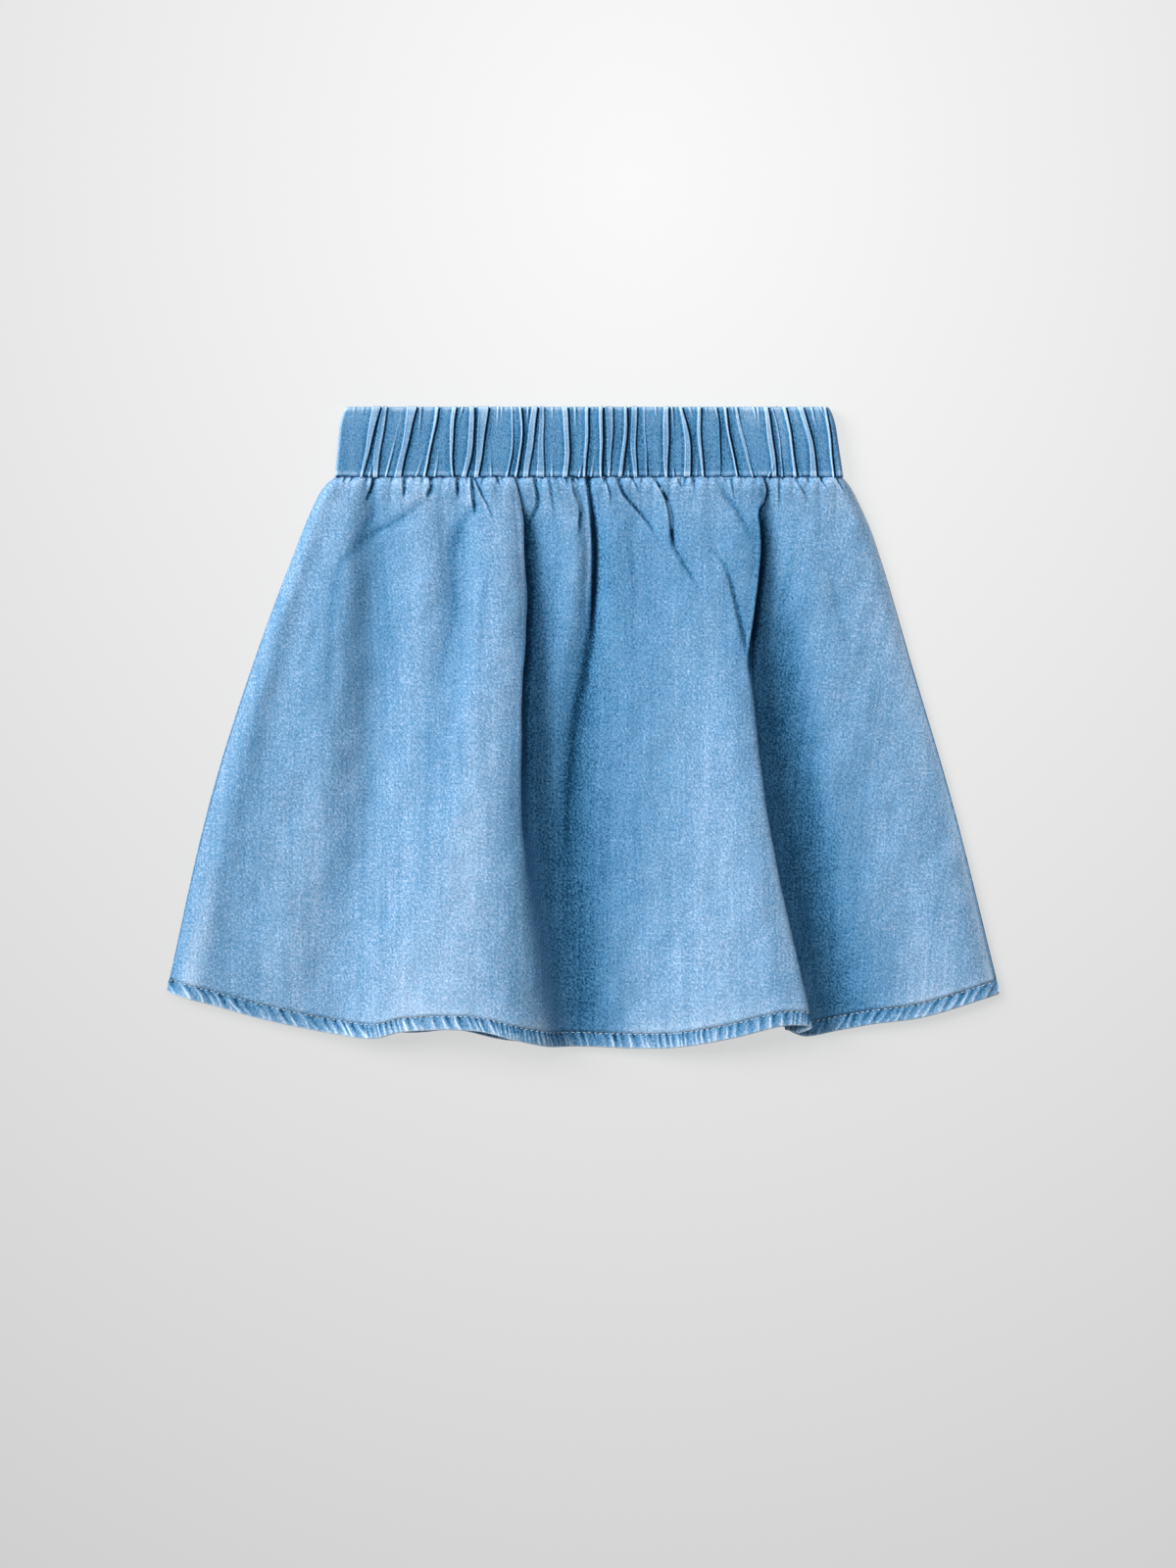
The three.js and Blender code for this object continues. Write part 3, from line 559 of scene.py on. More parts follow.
def denim(name, shade, fold=0.16, pale_mix=0.20):
    """Washed denim: twill grain, pale slubs down the warp, cloudy fading, and from the fold attribute dye
    and painted shade in the folds, and wear and painted highlights where it is paler.
    """
    material = bpy.data.materials.new(name)
    material.use_nodes = True
    tree = material.node_tree
    shader = tree.nodes["Principled BSDF"]
    shader.inputs["Specular IOR Level"].default_value = 0.10
    shader.inputs["Sheen Weight"].default_value = 0.05
    shader.inputs["Sheen Roughness"].default_value = 0.5
    shader.inputs["Sheen Tint"].default_value = (0.60, 0.82, 1.0, 1.0)
    w = Wire(tree)
    uv = w.node("ShaderNodeUVMap", {"uv_map": "Cloth"})
    creased = w.node("ShaderNodeAttribute", {"attribute_name": "fold"}, out="Fac")
    clouds = noise(w, uv, 24, 3) * 0.09 + noise(w, uv, 95, 3) * 0.16
    warp = noise(w, turned(w, uv, 0, (900, 30, 1)), 1, 3, 0.6)
    broad = noise(w, turned(w, uv, 0, (190, 9, 1)), 1, 2, 0.55)
    weft = noise(w, turned(w, uv, 0, (70, 760, 1)), 1, 2, 0.6)
    twill = noise(w, turned(w, uv, 24, (1150, 430, 1)), 1, 2, 0.6)
    fleck = noise(w, uv, 1000, 1.5, 0.6)
    streak = warp * 0.24 + broad * 0.20 + weft * 0.11
    weave = twill * 0.54 + fleck * 0.84
    tone = (streak + weave + clouds - creased * fold + shade + 0.25) * 0.8
    dyed = w.node("ShaderNodeValToRGB", {"stops": DENIM_STOPS}, {"Fac": tone})
    # Mixed towards chalk where the fold attribute is paler: wear, and painted highlights.
    wear_and_painted_shading = ((creased + 0.25) * -pale_mix).clamp(0.0, 0.6)
    colour = w.node("ShaderNodeMix", {"data_type": "RGBA"}, {0: wear_and_painted_shading, 6: dyed, 7: (*CHALK, 1)}, out=2)
    hue = noise(w, uv, 260, 3, 0.6) + noise(w, uv, 38, 2) * 0.6
    hue = w.node("ShaderNodeValToRGB", {"stops": [(0.3, (0.93, 1.0, 1.02)), (0.7, (1.0, 0.97, 0.96))]},
                 {"Fac": hue + 0.5})
    colour = w.node("ShaderNodeVectorMath", {"operation": "MULTIPLY"}, {0: colour, 1: hue})
    colour = w.node("ShaderNodeVectorMath", {"operation": "SCALE"}, {0: colour, "Scale": 1.025})
    tree.links.new(colour.socket, shader.inputs["Base Color"])
    rough = 0.86 - weave * 0.08
    tree.links.new(rough.socket, shader.inputs["Roughness"])
    height = twill * 0.6 + fleck * 0.5 + warp * 0.4 + weft * 0.25
    bump = w.node("ShaderNodeBump", {}, {"Strength": 0.55, "Distance": 0.00035, "Height": height})
    tree.links.new(bump.socket, shader.inputs["Normal"])
    return material


front_uv = cloth_uv(front_grid)
seam_notches = notches(-116, 121, 5.2, np.random.default_rng(3))
front_outer, front_tone = press(round_sides(front_grid, SIDE_MIDDLE), CREASES + seam_notches)
front_inner = front_outer - facing(front_outer) * CLOTH
front_tone = front_tone + dye_and_shading_at(front_shares, front_steps)
# Painted light just above the hem, fading out upwards and left out at the left end, against the shade of
# the hem's raised edge.
pale = soft_step((front_grid[:, :, 0] + 0.14) / 0.08)
front_tone -= 0.55 * pale * np.exp((front_shares[:, None] - HEM_START) * LONGEST / 0.0035)
skirt_front = build_shell("front_panel", front_outer, front_inner, front_uv, front_tone, FINE_ROWS)
skirt_front.data.materials.append(denim("washed_denim", 0.492))
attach(skirt_front, "root")
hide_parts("skirt_front")

# ----------------------------------------------------------
# Back panel: a flared piece like the front, with less cloth at its hem, lying face down on the
# table. Its flares are pressed low, so it has four shallow arches and small gathers at the seam.
BACK_DROP_SIDE, BACK_DROP_MIDDLE = 0.2438, 0.2686
BACK_FOLDS = np.array([
    # x waist, x hem, rise, half width, lift of the hem's edge
    (-92, -150, 1.6, 14, 0),
    (-40, -60, 3.4, 22, 4),
    (46, 84, 2.4, 20, 3.5),
    (96, 158, 2.2, 16, 0),
]) * MM
BACK_COLUMNS, BACK_ROWS = 241, 121


def back_face(shares, columns):
    """The back's outer face, which looks down at the table: points (row, column, 3)."""
    u = np.linspace(0, 1, columns)
    ends = between(STATIONS, LINE_X[[0, -1]], shares)
    left, right = ends[0] - swell(shares), ends[1] + 0.5 * swell(shares)
    x = left[:, None] + (right - left)[:, None] * u
    reach = LINE_X[-1, 4]
    hem_x = -reach + 2 * reach * u
    drop = BACK_DROP_MIDDLE - (BACK_DROP_MIDDLE - BACK_DROP_SIDE) * (hem_x / reach) ** 2
    z = np.zeros_like(x)
    for waist, hem, tall, half, lift in BACK_FOLDS:
        drop = drop - lift * np.exp(-2 * ((hem_x - hem) / half) ** 2)
        middle = waist + (hem - waist) * shares[:, None]
        off = (x - middle) / (half * (0.5 + 0.5 * shares[:, None]))
        z += tall * shares[:, None] * np.where(np.abs(off) < 1, np.cos(np.pi / 2 * off) ** 2, 0)
    y = WAIST - shares[:, None] * drop
    return np.stack([x, y, z], axis=2)


rng = np.random.default_rng(7)
back_creases = notches(-114, 119, 5.5, rng)
for x in np.arange(-108, 114, 12.5):
    place, down = x + rng.uniform(-4, 4), rng.uniform(12, 42)
    edge = [(place, 0, 0.8), (place * 1.03 + rng.uniform(-1, 1), down * 0.5, 0.9), (place * 1.08, down, 0)]
    back_creases.append((rng.uniform(0.5, 0.9), 2.2, 0.2, 1.6, edge))
rows = np.linspace(0, 1, BACK_ROWS)
back_shares = HEM_START * (0.62 * rows + 0.38 * rows**2)
back_grid = round_sides(back_face(back_shares, BACK_COLUMNS), SIDE_MIDDLE)
back_uv = cloth_uv(back_grid)
depth, back_tone = creased(back_grid[:, :, 0] / MM, (WAIST - back_grid[:, :, 1]) / MM, back_creases)
back_outer = back_grid.copy()
back_outer[:, :, 2] += np.maximum(depth, 0) * MM
back_inner = back_outer + facing(back_outer) * CLOTH
skirt_back = build_shell("back_panel", back_inner, back_outer, back_uv, back_tone, BACK_ROWS - 1)
skirt_back.data.materials.append(denim("washed_denim_back", 0.43))
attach(skirt_back, "root")
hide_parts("skirt_back")

# ----------------------------------------------------------
# Hems: the raw edge turned up twice and topstitched. On a curved edge the turned cloth has to
# ease in, so it ropes into slanting puckers, which the wash leaves pale on their ridges.
HEM_THICK = 0.0017
HEM_FACE_ROWS, HEM_ROUND_ROWS, HEM_INNER_ROWS = 12, 6, 4
PUCKERS = np.array([
    # from x, to x, pitch, slant over the hem's depth, height
    (-197, -150, 5.6, 4.8, 0.34),
    (-150, -104, 4.9, 4.2, 0.34),
    (-104, -84, 2.2, 1.2, 0.40),
    (-84, -56, 4.6, 2.4, 0.32),
    (-56, -40, 3.4, 2.8, 0.34),
    (-40, -24, 1.9, 1.0, 0.40),
    (-24, -6, 2.1, 1.4, 0.40),
    (-6, 32, 4.0, 1.8, 0.28),
    (32, 60, 2.5, 0.8, 0.40),
    (60, 98, 4.6, -0.2, 0.26),
    (98, 107, 1.9, -0.5, 0.38),
    (107, 140, 4.4, -3.4, 0.32),
    (140, 197, 5.2, -4.2, 0.34),
]) * MM


def pucker(x, down, seed):
    """The hem's puckers at x along it and down its depth (0..1): height in metres, and their tone: wear on
    their ridges and painted shadow beside them.
    """
    draw = np.random.default_rng(seed)
    height, wear_and_painted_shading = np.zeros_like(x), np.zeros_like(x)
    for start, end, pitch, slant, tall in PUCKERS:
        place = start + draw.uniform(0, pitch)
        while place < end:
            size, wide = draw.uniform(0.45, 1.2), pitch * draw.uniform(0.24, 0.36)
            lean, curl = slant * draw.uniform(0.75, 1.25), draw.uniform(-0.25, 0.25) * slant
            u = (x - place - lean * (down - 0.5) - curl * np.sin(np.pi * down)) / wide
            ridge = np.exp(-((u / np.where(u < 0, 1.2, 0.7)) ** 2))
            height += size * tall * ridge * np.sin(np.pi * np.clip(0.1 + 0.8 * down, 0, 1)) ** 0.7
            fine_line = np.exp(-(((u - draw.uniform(-0.5, 0.3)) / 0.20) ** 2))
            low = 0.35 + 0.65 * soft_step(down * draw.uniform(0.9, 2.2))
            wear_and_painted_shading += size * low * (0.40 * ridge + draw.uniform(0.5, 1.6) * fine_line)
            # Painted shadow to the right of each ridge, strongest near the top of the hem.
            wear_and_painted_shading -= 0.8 * size * (1.2 - down) * np.exp(-(((u - 1.35) / 0.6) ** 2))
            place += pitch * draw.uniform(0.65, 1.4)
    return height, wear_and_painted_shading


def build_hem(name, face, fade, sign, seed):
    """The turned hem as one folded band: face, rounded edge, and the inner turn. face(shares)
    gives the outer face, and sign is 1 where the cloth is built down from it."""
    down = np.linspace(0, 1, HEM_FACE_ROWS)
    edge = 1 - (HEM_THICK / 2) / LONGEST
    shares = HEM_START + (edge - HEM_START) * down
    outer = face(shares)
    x = outer[:, :, 0]
    bumps, wear_and_painted_shading = pucker(x, down[:, None] * np.ones_like(x), seed)
    uv = cloth_uv(outer)
    normal = facing(outer) * sign
    groove = np.exp(-(((down - 0.05) / 0.05) ** 2))[:, None]
    raised = outer + normal * (bumps - 0.0001 - 0.0003 * groove)[:, :, None]
    # The hem's tone: paler towards its edge and on its puckers for wear, painted shadow beside the
    # puckers, painted shade in the groove at its top, and the front's dye and painted shading.
    tone = 1.0 - 0.95 * down[:, None] ** 1.5 - 2.5 * wear_and_painted_shading
    tone += 0.4 * groove + 0.8 * np.minimum(fade(shares), 0.5)
    fall = outer[-1] - outer[-2]
    fall /= np.linalg.norm(fall, axis=1, keepdims=True)
    ring, ring_uv, ring_tone = [raised], [uv], [tone]
    centre = raised[-1] - normal[-1] * HEM_THICK / 2
    for k in range(1, HEM_ROUND_ROWS + 1):
        a = math.pi * k / (HEM_ROUND_ROWS + 1)
        ring.append((centre + (normal[-1] * math.cos(a) + fall * math.sin(a)) * HEM_THICK / 2)[None])
        ring_uv.append(uv[-1:] - np.array([0, 0.0004 * k]))
        # The rounded edge is paler: worn white, and painted light where it turns away from the light.
        ring_tone.append(tone[-1:] * 0.5 - 3.0 * math.sin(a))
    back = np.linspace(1, 0, HEM_INNER_ROWS)
    pick = np.round(back * (HEM_FACE_ROWS - 1)).astype(int)
    ring.append((raised - normal * HEM_THICK)[pick])
    ring_uv.append(uv[pick] - np.array([0, 0.01]))
    ring_tone.append(tone[pick])
    points, flat, shade = (np.concatenate(r, axis=0) for r in (ring, ring_uv, ring_tone))
    points[:, :, 2] = np.maximum(points[:, :, 2], 0)
    r, c = points.shape[:2]
    grid = np.arange(r * c).reshape(r, c)
    turn = np.concatenate([grid, grid[:1]], axis=0)
    faces = np.stack([turn[:-1, :-1], turn[1:, :-1], turn[1:, 1:], turn[:-1, 1:]], axis=-1).reshape(-1, 4)
    if sign < 0:
        faces = faces[:, ::-1]
    ends = [grid[::sign, 0].tolist(), grid[::-sign, -1].tolist()]
    return cloth_piece(name, points.reshape(-1, 3), faces.tolist() + ends, flat.reshape(-1, 2),
                       shade.ravel())


HEM_FINER = 2                 # hem columns for each column of the panel
BACK_HEM_COLUMNS = 600
HEM_MIDDLE = SIDE_MIDDLE + 0.0004            # the height at which the hems meet at the sides
hem_steps = front_steps * HEM_FINER


def front_edge(shares):
    return round_sides(front_face(shares, hem_steps), HEM_MIDDLE)


def back_edge(shares):
    return round_sides(back_face(shares, BACK_HEM_COLUMNS), HEM_MIDDLE)


front_hem = build_hem("front_hem", front_edge, lambda s: dye_and_shading_at(s, hem_steps), 1, 11)
back_hem = build_hem("back_hem", back_edge, lambda s: 0, -1, 12)
hem_denim = denim("hem_denim", 0.46, fold=0.17, pale_mix=0.15)
for hem, node in ((front_hem, "hem_front"), (back_hem, "hem_back")):
    hem.data.materials.append(hem_denim)
    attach(hem, "root")
    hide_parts(node)

# Hem stitches: a row of short thread floats just below the hem's turned edge, each end sunk
# into the cloth. The thread is spun light blue, paler than the denim.
STITCH, STITCH_PITCH, THREAD = 0.0016, 0.0027, 0.00036
STITCH_DOWN = 0.0003          # below the top of the hem
thread = bpy.data.materials.new("thread")
thread.use_nodes = True
shader = thread.node_tree.nodes["Principled BSDF"]
w = Wire(thread.node_tree)
place = w.node("ShaderNodeTexCoord", out="Object")
twist = noise(w, place, 2600, 1)
tint = w.node("ShaderNodeValToRGB", {"stops": [(0.3, (0.36, 0.48, 0.60)), (0.7, (0.66, 0.76, 0.84))]},
              {"Fac": twist + 0.5})
thread.node_tree.links.new(tint.socket, shader.inputs["Base Color"])
thread_bump = w.node("ShaderNodeBump", {}, {"Strength": 0.4, "Distance": 0.0001, "Height": twist})
thread.node_tree.links.new(thread_bump.socket, shader.inputs["Normal"])
shader.inputs["Roughness"].default_value = 0.6


def stitch_row(name, line, out):
    """Stitches along a line of points: each a rounded bead of thread bowed out of the cloth."""
    step = np.linalg.norm(np.diff(line, axis=0), axis=1)
    along = np.concatenate([[0], np.cumsum(step)])
    starts = np.arange(STITCH_PITCH, along[-1] - STITCH_PITCH, STITCH_PITCH)
    draw = np.random.default_rng(21)
    starts = starts + draw.uniform(-0.08, 0.08, len(starts)) * STITCH_PITCH
    sides, rings, radius = 6, 6, THREAD / 2
    points, faces = [], []
    for start in starts:
        at = start + np.linspace(0, STITCH, rings)
        middle = np.stack([np.interp(at, along, line[:, k]) for k in range(3)], axis=1)
        up = np.stack([np.interp(at, along, out[:, k]) for k in range(3)], axis=1)
        u = np.linspace(-1, 1, rings)
        middle = middle + up * (radius * (1.1 * (1 - u**2) - 0.55))[:, None]
        ahead = np.gradient(middle, axis=0)
        ahead /= np.linalg.norm(ahead, axis=1, keepdims=True)
        beside = np.cross(up, ahead)
        wide = radius * np.sqrt(np.maximum(1 - 0.75 * u**4, 0.05))
        base = len(points)
        for k in range(rings):
            for s in range(sides):
                a = 2 * math.pi * s / sides
                points.append(middle[k] + wide[k] * (math.cos(a) * beside[k] + 0.8 * math.sin(a) * up[k]))
        for k in range(rings - 1):
            for s in range(sides):
                n = (s + 1) % sides
                a, b = base + k * sides, base + (k + 1) * sides
                faces.append((a + s, b + s, b + n, a + n))
        faces.append(tuple(base + s for s in range(sides)))
        faces.append(tuple(base + (rings - 1) * sides + s for s in reversed(range(sides))))
    mesh = bpy.data.meshes.new(name)
    mesh.from_pydata([tuple(p) for p in points], [], faces)
    mesh.polygons.foreach_set("use_smooth", [True] * len(mesh.polygons))
    piece = bpy.data.objects.new(name, mesh)
    bpy.context.scene.collection.objects.link(piece)
    piece.data.materials.append(thread)
    return piece


stitch_shares = HEM_START + np.arange(3) * STITCH_DOWN / LONGEST
front_lines, back_lines = front_edge(stitch_shares), back_edge(stitch_shares)
back_lines[:, :, 2] += THREAD / 2
front_stitches = stitch_row("front_hem_stitches", front_lines[1], facing(front_lines)[1])
back_stitches = stitch_row("back_hem_stitches", back_lines[1], -facing(back_lines)[1])
for row in (front_stitches, back_stitches):
    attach(row, "root")

# ----------------------------------------------------------
# Waistband: a casing of the same denim, much longer than the 30 mm elastic inside it, so that
# it stands in upright tucks that lean over to the right. The back's are pressed flat below.
BAND_HIGH = 0.0335
BAND_TOP, BAND_SEAM = (-0.1148, 0.1186), (-0.1179, 0.1235)
BAND_CORNER = 0.0022          # how far its top corners are rounded off
BAND_COLUMNS, BAND_FACE_ROWS, BAND_TURN_ROWS, BAND_INNER_ROWS = 1100, 24, 6, 4
TUCKS = np.array([
    # x of the dark line at the top edge, half way and at the seam; how wide the ridge on its
    # left is at those places; its height; and how dark the line's painted shade is at those places
    (-95.7, -100.1, -104.3, 4.2, 2.4, 1.2, 1.0, 1.1, 1.0, 0.5),
    (-92.4, -95.2, -97.5, 2.6, 3.1, 2.0, 1.0, 0.6, 0.6, 0.6),
    (-78.4, -82.6, -86.0, 4.8, 3.0, 3.4, 1.0, 0.9, 1.1, 1.0),
    (-68.1, -71.2, -74.8, 1.6, 1.2, 1.2, 1.1, 0.8, 1.0, 1.1),
    (-59.6, -61.6, -61.1, 2.0, 1.6, 0.8, 1.0, 1.0, 1.0, 1.0),
    (-51.6, -51.9, -55.2, 2.2, 2.5, 2.2, 1.0, 1.1, 1.1, 1.0),
    (-44.7, -46.8, -49.5, 4.8, 3.3, 2.0, 1.1, 0.9, 1.0, 1.0),
    (-33.4, -33.1, -35.4, 0.8, 0.8, 1.2, 0.6, 0.1, 0.4, 1.0),
    (-29.0, -28.8, -31.4, 1.2, 0.9, 1.2, 1.1, 1.0, 1.3, 1.1),
    (-21.3, -23.4, -25.8, 2.6, 3.0, 2.4, 1.0, 1.2, 0.7, 0.5),
    (-18.3, -18.5, -18.3, 2.3, 2.6, 3.8, 0.8, 0.4, 0.3, 0.5),
    (-7.5, -6.3, -7.2, 2.6, 2.4, 2.4, 1.1, 1.0, 1.2, 1.0),
    (2.8, 2.4, 1.2, 1.5, 1.5, 1.1, 0.9, 1.0, 1.0, 1.0),
    (9.6, 9.4, 9.1, 1.8, 1.5, 1.0, 1.1, 1.3, 1.4, 1.3),
    (14.4, 14.0, 12.7, 3.8, 2.6, 1.0, 0.8, 0.5, 0.5, 0.3),
    (21.1, 20.6, 18.5, 1.3, 1.7, 1.8, 1.0, 1.0, 1.1, 1.0),
    (25.9, 25.3, 25.8, 2.6, 2.6, 1.7, 1.0, 0.5, 0.5, 0.7),
    (29.6, 30.0, 30.9, 1.2, 0.8, 1.0, 0.4, 0.1, 0.1, 0.7),
    (40.8, 40.7, 40.2, 2.2, 2.8, 1.2, 1.1, 1.0, 1.1, 1.0),
    (46.9, 50.8, 51.0, 1.2, 2.7, 3.1, 1.1, 0.9, 1.0, 1.0),
    (55.9, 56.2, 57.6, 1.6, 1.6, 0.9, 1.0, 1.0, 0.7, 1.0),
    (63.5, 65.2, 65.0, 0.6, 0.6, 0.6, 0.2, 0.6, 0.8, 0.3),
    (67.9, 70.3, 73.8, 1.3, 1.0, 0.8, 1.0, 0.9, 1.0, 1.0),
    (73.1, 76.9, 81.2, 1.2, 1.6, 1.0, 0.6, 0.5, 0.1, 0.5),
    (87.5, 90.3, 92.0, 1.8, 2.4, 2.0, 1.0, 0.9, 1.0, 1.1),
    (90.0, 93.5, 94.9, 0.7, 0.7, 0.9, 0.5, 0.1, 0.1, 0.5),
    (96.3, 99.3, 101.4, 1.6, 1.2, 1.6, 1.0, 1.0, 1.0, 1.0),
    (104.3, 108.9, 111.2, 2.6, 2.2, 3.2, 1.0, 0.9, 1.0, 1.0),
    (115.4, 117.7, 119.2, 1.2, 1.2, 0.9, 1.0, 0.8, 0.9, 0.8),
])

# Short ridges that start at the seam (end 0) or over the top edge (end 1) and fade out.
PLEATS = np.array([
    # x, end, share of the band's height, lean over that share, height
    (-108.4, 1, 0.12, -0.4, 0.5),
    (-104.0, 1, 0.10, -0.6, 0.5),
    (-76.8, 1, 0.36, -1.0, 0.9),
    (-57.0, 1, 0.16, -1.6, 0.9),
    (-40.3, 1, 0.22, -0.4, 0.7),
    (-38.6, 1, 0.14, 0.0, 0.7),
    (-26.1, 1, 0.26, -0.4, 0.9),
    (-14.7, 1, 0.14, 0.1, 0.6),
    (-3.9, 1, 0.28, 0.2, 0.8),
    (4.5, 1, 0.12, 0.0, 0.5),
    (34.3, 1, 0.14, 0.2, 0.6),
    (42.1, 1, 0.36, 0.8, 0.9),
    (50.4, 1, 0.14, 1.0, 0.5),
    (58.2, 1, 0.12, 0.3, 0.5),
    (62.6, 1, 0.14, 1.0, 0.5),
    (70.6, 1, 0.12, 0.6, 0.5),
    (80.6, 1, 0.16, 1.2, 0.7),
    (82.7, 1, 0.24, 0.6, 0.7),
    (108.1, 1, 0.28, 2.0, 0.7),
    (112.4, 1, 0.14, 2.0, 0.6),
    (-101.4, 0, 0.16, 1.2, 0.9),
    (-93.6, 0, 0.60, 5.0, 1.0),
    (-79.3, 0, 0.24, 2.8, 0.8),
    (-70.4, 0, 0.30, 1.6, 0.7),
    (-43.6, 0, 0.26, -0.6, 0.6),
    (-14.9, 0, 0.26, 0.2, 0.6),
    (-2.0, 0, 0.28, 1.8, 0.7),
    (3.7, 0, 0.24, 1.2, 0.7),
    (21.6, 0, 0.16, -0.2, 0.6),
    (35.2, 0, 0.10, 1.2, 0.6),
    (43.0, 0, 0.18, -0.6, 0.7),
    (53.6, 0, 0.15, 0.2, 0.5),
    (87.9, 0, 0.16, 2.0, 0.9),
    (103.2, 0, 0.10, -0.4, 0.5),
])


def through_three(values, at):
    """Curves through values given at 0, 0.5 and 1."""
    low, middle, high = values[:, 0, None, None], values[:, 1, None, None], values[:, 2, None, None]
    return low + at * (4 * middle - 3 * low - high) + 2 * at**2 * (low + high - 2 * middle)


def tucked(x, up, table, pleats):
    """Height of the band's tucks in mm at x, up from the seam (0..1), and their tone: pale worn ridges,
    and painted shade in the creases and beside the ridges.
    """
    height, tone = np.zeros_like(x), np.zeros_like(x)
    for row in table:
        places = np.stack([row[2::-1], row[5:2:-1], row[9:6:-1]])
        line, full, deep = through_three(places, up)
        tall = row[6]
        u = x - line - 0.15 * np.sin(9 * up + row[0])
        flat = rise(u + full, 0.14) * rise(-0.15 - u, 0.08)
        crease = bell(u - 0.2, 0.40)
        height += tall * (0.8 * flat + 0.25 * bell(u + full - 0.25, 0.3) + 0.25 * bell(u + 0.45, 0.25))
        height -= 0.9 * deep * crease
        # Painted shade in each crease and to its right, and beside the ridge on its left.
        tone += deep * (5.0 * crease + 1.1 * bell(u - 1.1, 1.3)) + 0.9 * tall * bell(u + full + 0.8, 0.9)
        pale = 1.0 - 0.16 * np.clip(full, 1, 4)
        tone -= tall * (1.25 * pale * flat + 1.1 * bell(u + full - 0.15, 0.25) + 1.3 * bell(u + 0.4, 0.25))
    for place, end, share, lean, tall in pleats:
        off = np.abs(up - end) / share
        u = x - place - lean * off
        fade = np.exp(-(off**2) * 1.4)
        ridge = bell(u, 0.42 + 0.15 * off) * fade
        height += 0.8 * tall * ridge
        # Painted shade on both sides of each short ridge, and the ridge itself paler.
        tone += tall * (2.6 * bell(u - 0.8, 0.4) * fade + 1.0 * bell(u + 0.9, 0.5) * fade - 2.4 * ridge)
    return height, tone


TUCK_HIGH = 0.7               # mm for each unit of height in the table of tucks
BAND_TONES = [
    # tone, share of the band's height, width as a share of it
    (0.6, 0, 0.012),          # painted shade in the seam's line
    (-1.0, 0.045, 0.03),      # the worn edge above it
    (0.1, 0.25, 0.2),
    (-0.35, 0.86, 0.12),
    (-1.7, 1, 0.05),          # the worn top edge
]


def build_band(name, low, high, table, pleats, sign):
    """Half of the waistband between two heights; sign is 1 where its face looks up."""
    middle, thick = (low + high) / 2, high - low
    s = np.linspace(-1, 1, BAND_COLUMNS)
    face = np.linspace(0, 1, BAND_FACE_ROWS)
    turn = np.linspace(0, 1, BAND_TURN_ROWS + 2)[1:-1]
    inner = np.linspace(1, 0, BAND_INNER_ROWS)
    radius = thick / 2
    foot = 0.35 * radius
    lift = np.concatenate([foot + face * (BAND_HIGH - foot - radius),
                           BAND_HIGH - radius + radius * np.sin(np.pi * turn),
                           foot + inner * (BAND_HIGH - foot - radius),
                           foot - foot * np.sin(np.pi * turn)])
    side = np.concatenate([np.ones(len(face)), np.cos(np.pi * turn),
                           -np.ones(len(inner)), -np.cos(np.pi * turn)])
    up = (lift / BAND_HIGH)[:, None]
    corner = BAND_CORNER * np.clip((up - 0.6) / 0.4, 0, 1) ** 3
    left = BAND_SEAM[0] + (BAND_TOP[0] - BAND_SEAM[0]) * up + corner
    right = BAND_SEAM[1] + (BAND_TOP[1] - BAND_SEAM[1]) * up - corner
    x = (left + right) / 2 + s * (right - left) / 2
    inward = np.minimum(x - left, right - x)
    tucks, tone = tucked(x / MM, up, table, pleats)
    outside = np.clip(side, 0, 1)[:, None]
    ends = np.sqrt(1 - (1 - np.clip(inward / 0.0018, 0, 1)) ** 2)
    height = side[:, None] * thick / 2 + outside * tucks * TUCK_HIGH * MM * soft_step(inward / 0.004)
    z = np.maximum(middle + sign * (height - radius * (1 - ends) * (1 + side[:, None])), 0)
    y = WAIST + lift[:, None] * np.ones_like(x)
    y += (0.0004 * soft_step((up - 0.9) / 0.1) - 0.0006 * soft_step((0.08 - up) / 0.08)) * (tucks - 0.3)
    y += 0.00022 * soft_step((0.08 - up) / 0.08) * np.sin(x / 0.0019 + 2 * np.sin(x / 0.0053))
    tone += sum(much * bell(up - at, wide) for much, at, wide in BAND_TONES)
    # Paler near both ends of the band; at the right end this is painted light where the cloth rounds away.
    tone -= 1.0 * bell(x - left - 0.0004, 0.0007) + 0.9 * bell(right - x - 0.0016, 0.0016)
    tone += sign * (0.3 * bell(x - 0.03, 0.02) - 0.3 * up * bell(x - 0.095, 0.03))
    points = np.stack([x, y, z], axis=2)
    flat = np.stack([x * 1.6, y], axis=2)
    r, c = x.shape
    grid = np.arange(r * c).reshape(r, c)
    loop = np.concatenate([grid, grid[:1]], axis=0)
    faces = np.stack([loop[:-1, :-1], loop[:-1, 1:], loop[1:, 1:], loop[1:, :-1]], axis=-1).reshape(-1, 4)
    ends = [grid[::-1, 0].tolist(), grid[:, -1].tolist()]
    if sign < 0:
        faces, ends = faces[:, ::-1], [e[::-1] for e in ends]
    return cloth_piece(name, points.reshape(-1, 3), faces.tolist() + ends, flat.reshape(-1, 2),
                       (tone * outside).ravel())


back_tucks = TUCKS * np.array([-1, -1, -1, 1, 1, 1, 0.8, 0.8, 0.8, 0.8])
back_pleats = PLEATS * np.array([-1, 1, 1, -1, 0.8])
band_front = build_band("front_waistband", 0.0033, 0.0063, TUCKS, PLEATS, 1)
band_back = build_band("back_waistband", 0.0, 0.003, back_tucks, back_pleats, -1)
band_denim = denim("band_denim", 0.32, fold=0.17, pale_mix=0.27)
for band, node in ((band_front, "waistband_front"), (band_back, "waistband_back")):
    band.data.materials.append(band_denim)
    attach(band, "root")
    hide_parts(node)

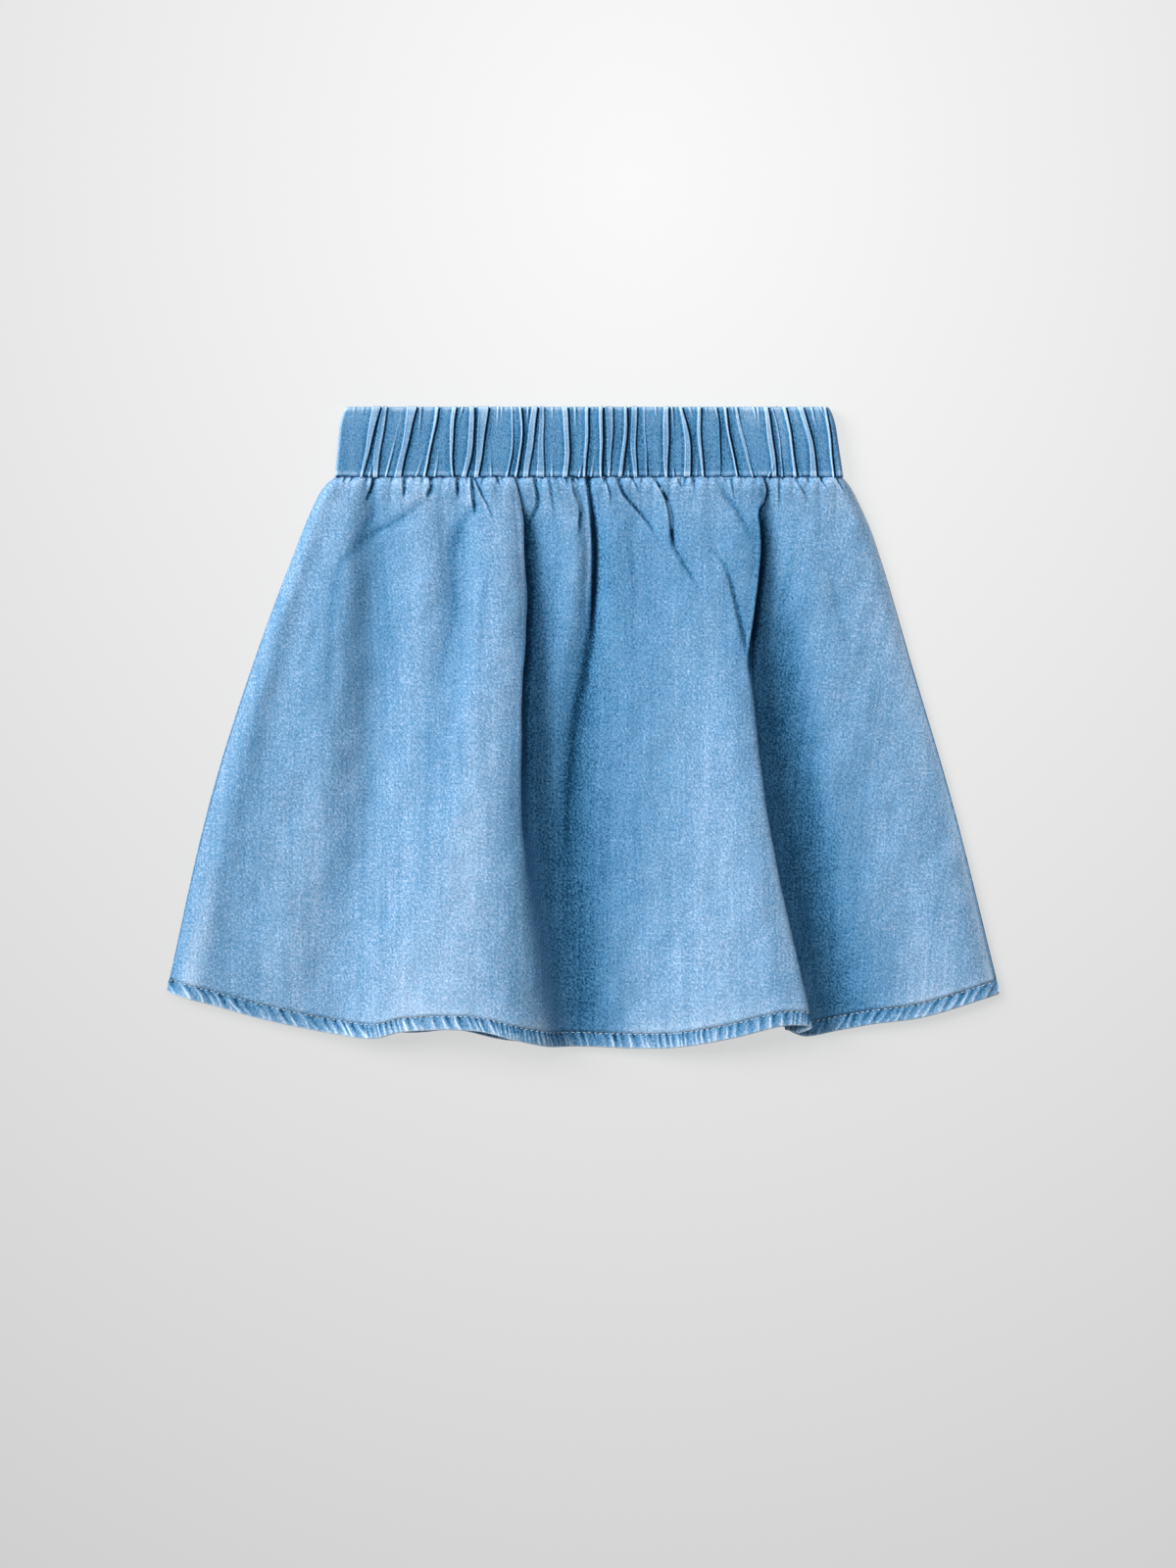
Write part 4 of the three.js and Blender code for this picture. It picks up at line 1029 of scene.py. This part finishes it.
# ----------------------------------------------------------
# Table and light: a pale table lit from within, whose glow is a painted pool of light, brightest beyond
# the waistband and dimmer further out, and which keeps shadows on it weak; a wide soft sun from the left,
# and a weak fill.
mesh = bpy.data.meshes.new("table")
HALF = 6.0
corners = [(-HALF, -HALF, 0), (HALF, -HALF, 0), (HALF, HALF, 0), (-HALF, HALF, 0)]
mesh.from_pydata(corners, [], [(0, 1, 2, 3)])
table = bpy.data.objects.new("table", mesh)
table.location.z = -0.0002
bpy.context.scene.collection.objects.link(table)
paint = bpy.data.materials.new("table")
paint.use_nodes = True
shader = paint.node_tree.nodes["Principled BSDF"]
shader.inputs["Base Color"].default_value = (0.13, 0.13, 0.13, 1)
shader.inputs["Roughness"].default_value = 0.9
shader.inputs["Specular IOR Level"].default_value = 0.1
w = Wire(paint.node_tree)
place = w.node("ShaderNodeTexCoord", out="Object")
place = w.node("ShaderNodeVectorMath", {"operation": "MULTIPLY"}, {0: place, 1: (1.2, 1.0, 1.0)})
away = w.node("ShaderNodeVectorMath", {"operation": "DISTANCE"},
              {0: place, 1: (0.03, 0.26, 0.0)}, out="Value")
# The glow: a painted pool of light, brightest beyond the waistband and fading outwards.
glow = w.node("ShaderNodeMapRange", {}, {"Value": away, "From Max": 0.8, "To Min": 0.765, "To Max": 0.46})
glow = w.node("ShaderNodeCombineColor", {}, {0: glow, 1: glow, 2: glow})
paint.node_tree.links.new(glow.socket, shader.inputs["Emission Color"])
shader.inputs["Emission Strength"].default_value = 1.0
table.data.materials.append(paint)

world = bpy.data.worlds.new("studio")
bpy.context.scene.world = world
world.use_nodes = True
world.node_tree.nodes["Background"].inputs["Color"].default_value = (0.74, 0.96, 1, 1)
world.node_tree.nodes["Background"].inputs["Strength"].default_value = 0.18


def soft_light(name, place, size, power):
    lamp = bpy.data.lights.new(name, "AREA")
    lamp.size = size
    lamp.energy = power
    thing = bpy.data.objects.new(name, lamp)
    thing.location = place
    thing.rotation_euler = (Vector((0, 0, 0)) - Vector(place)).to_track_quat("-Z", "Y").to_euler()
    bpy.context.scene.collection.objects.link(thing)


sun = bpy.data.lights.new("key", "SUN")
sun.energy = 5.0
sun.color = (1.0, 0.98, 0.95)
sun.angle = math.radians(34)
key = bpy.data.objects.new("key", sun)
key.location = (-1.6, 0.7, 1.05)
key.rotation_euler = (-Vector(key.location)).to_track_quat("-Z", "Y").to_euler()
bpy.context.scene.collection.objects.link(key)
soft_light("fill", (0.0, 0.40, 0.75), 0.45, 3.0)
bpy.context.scene.view_settings.view_transform = "Standard"
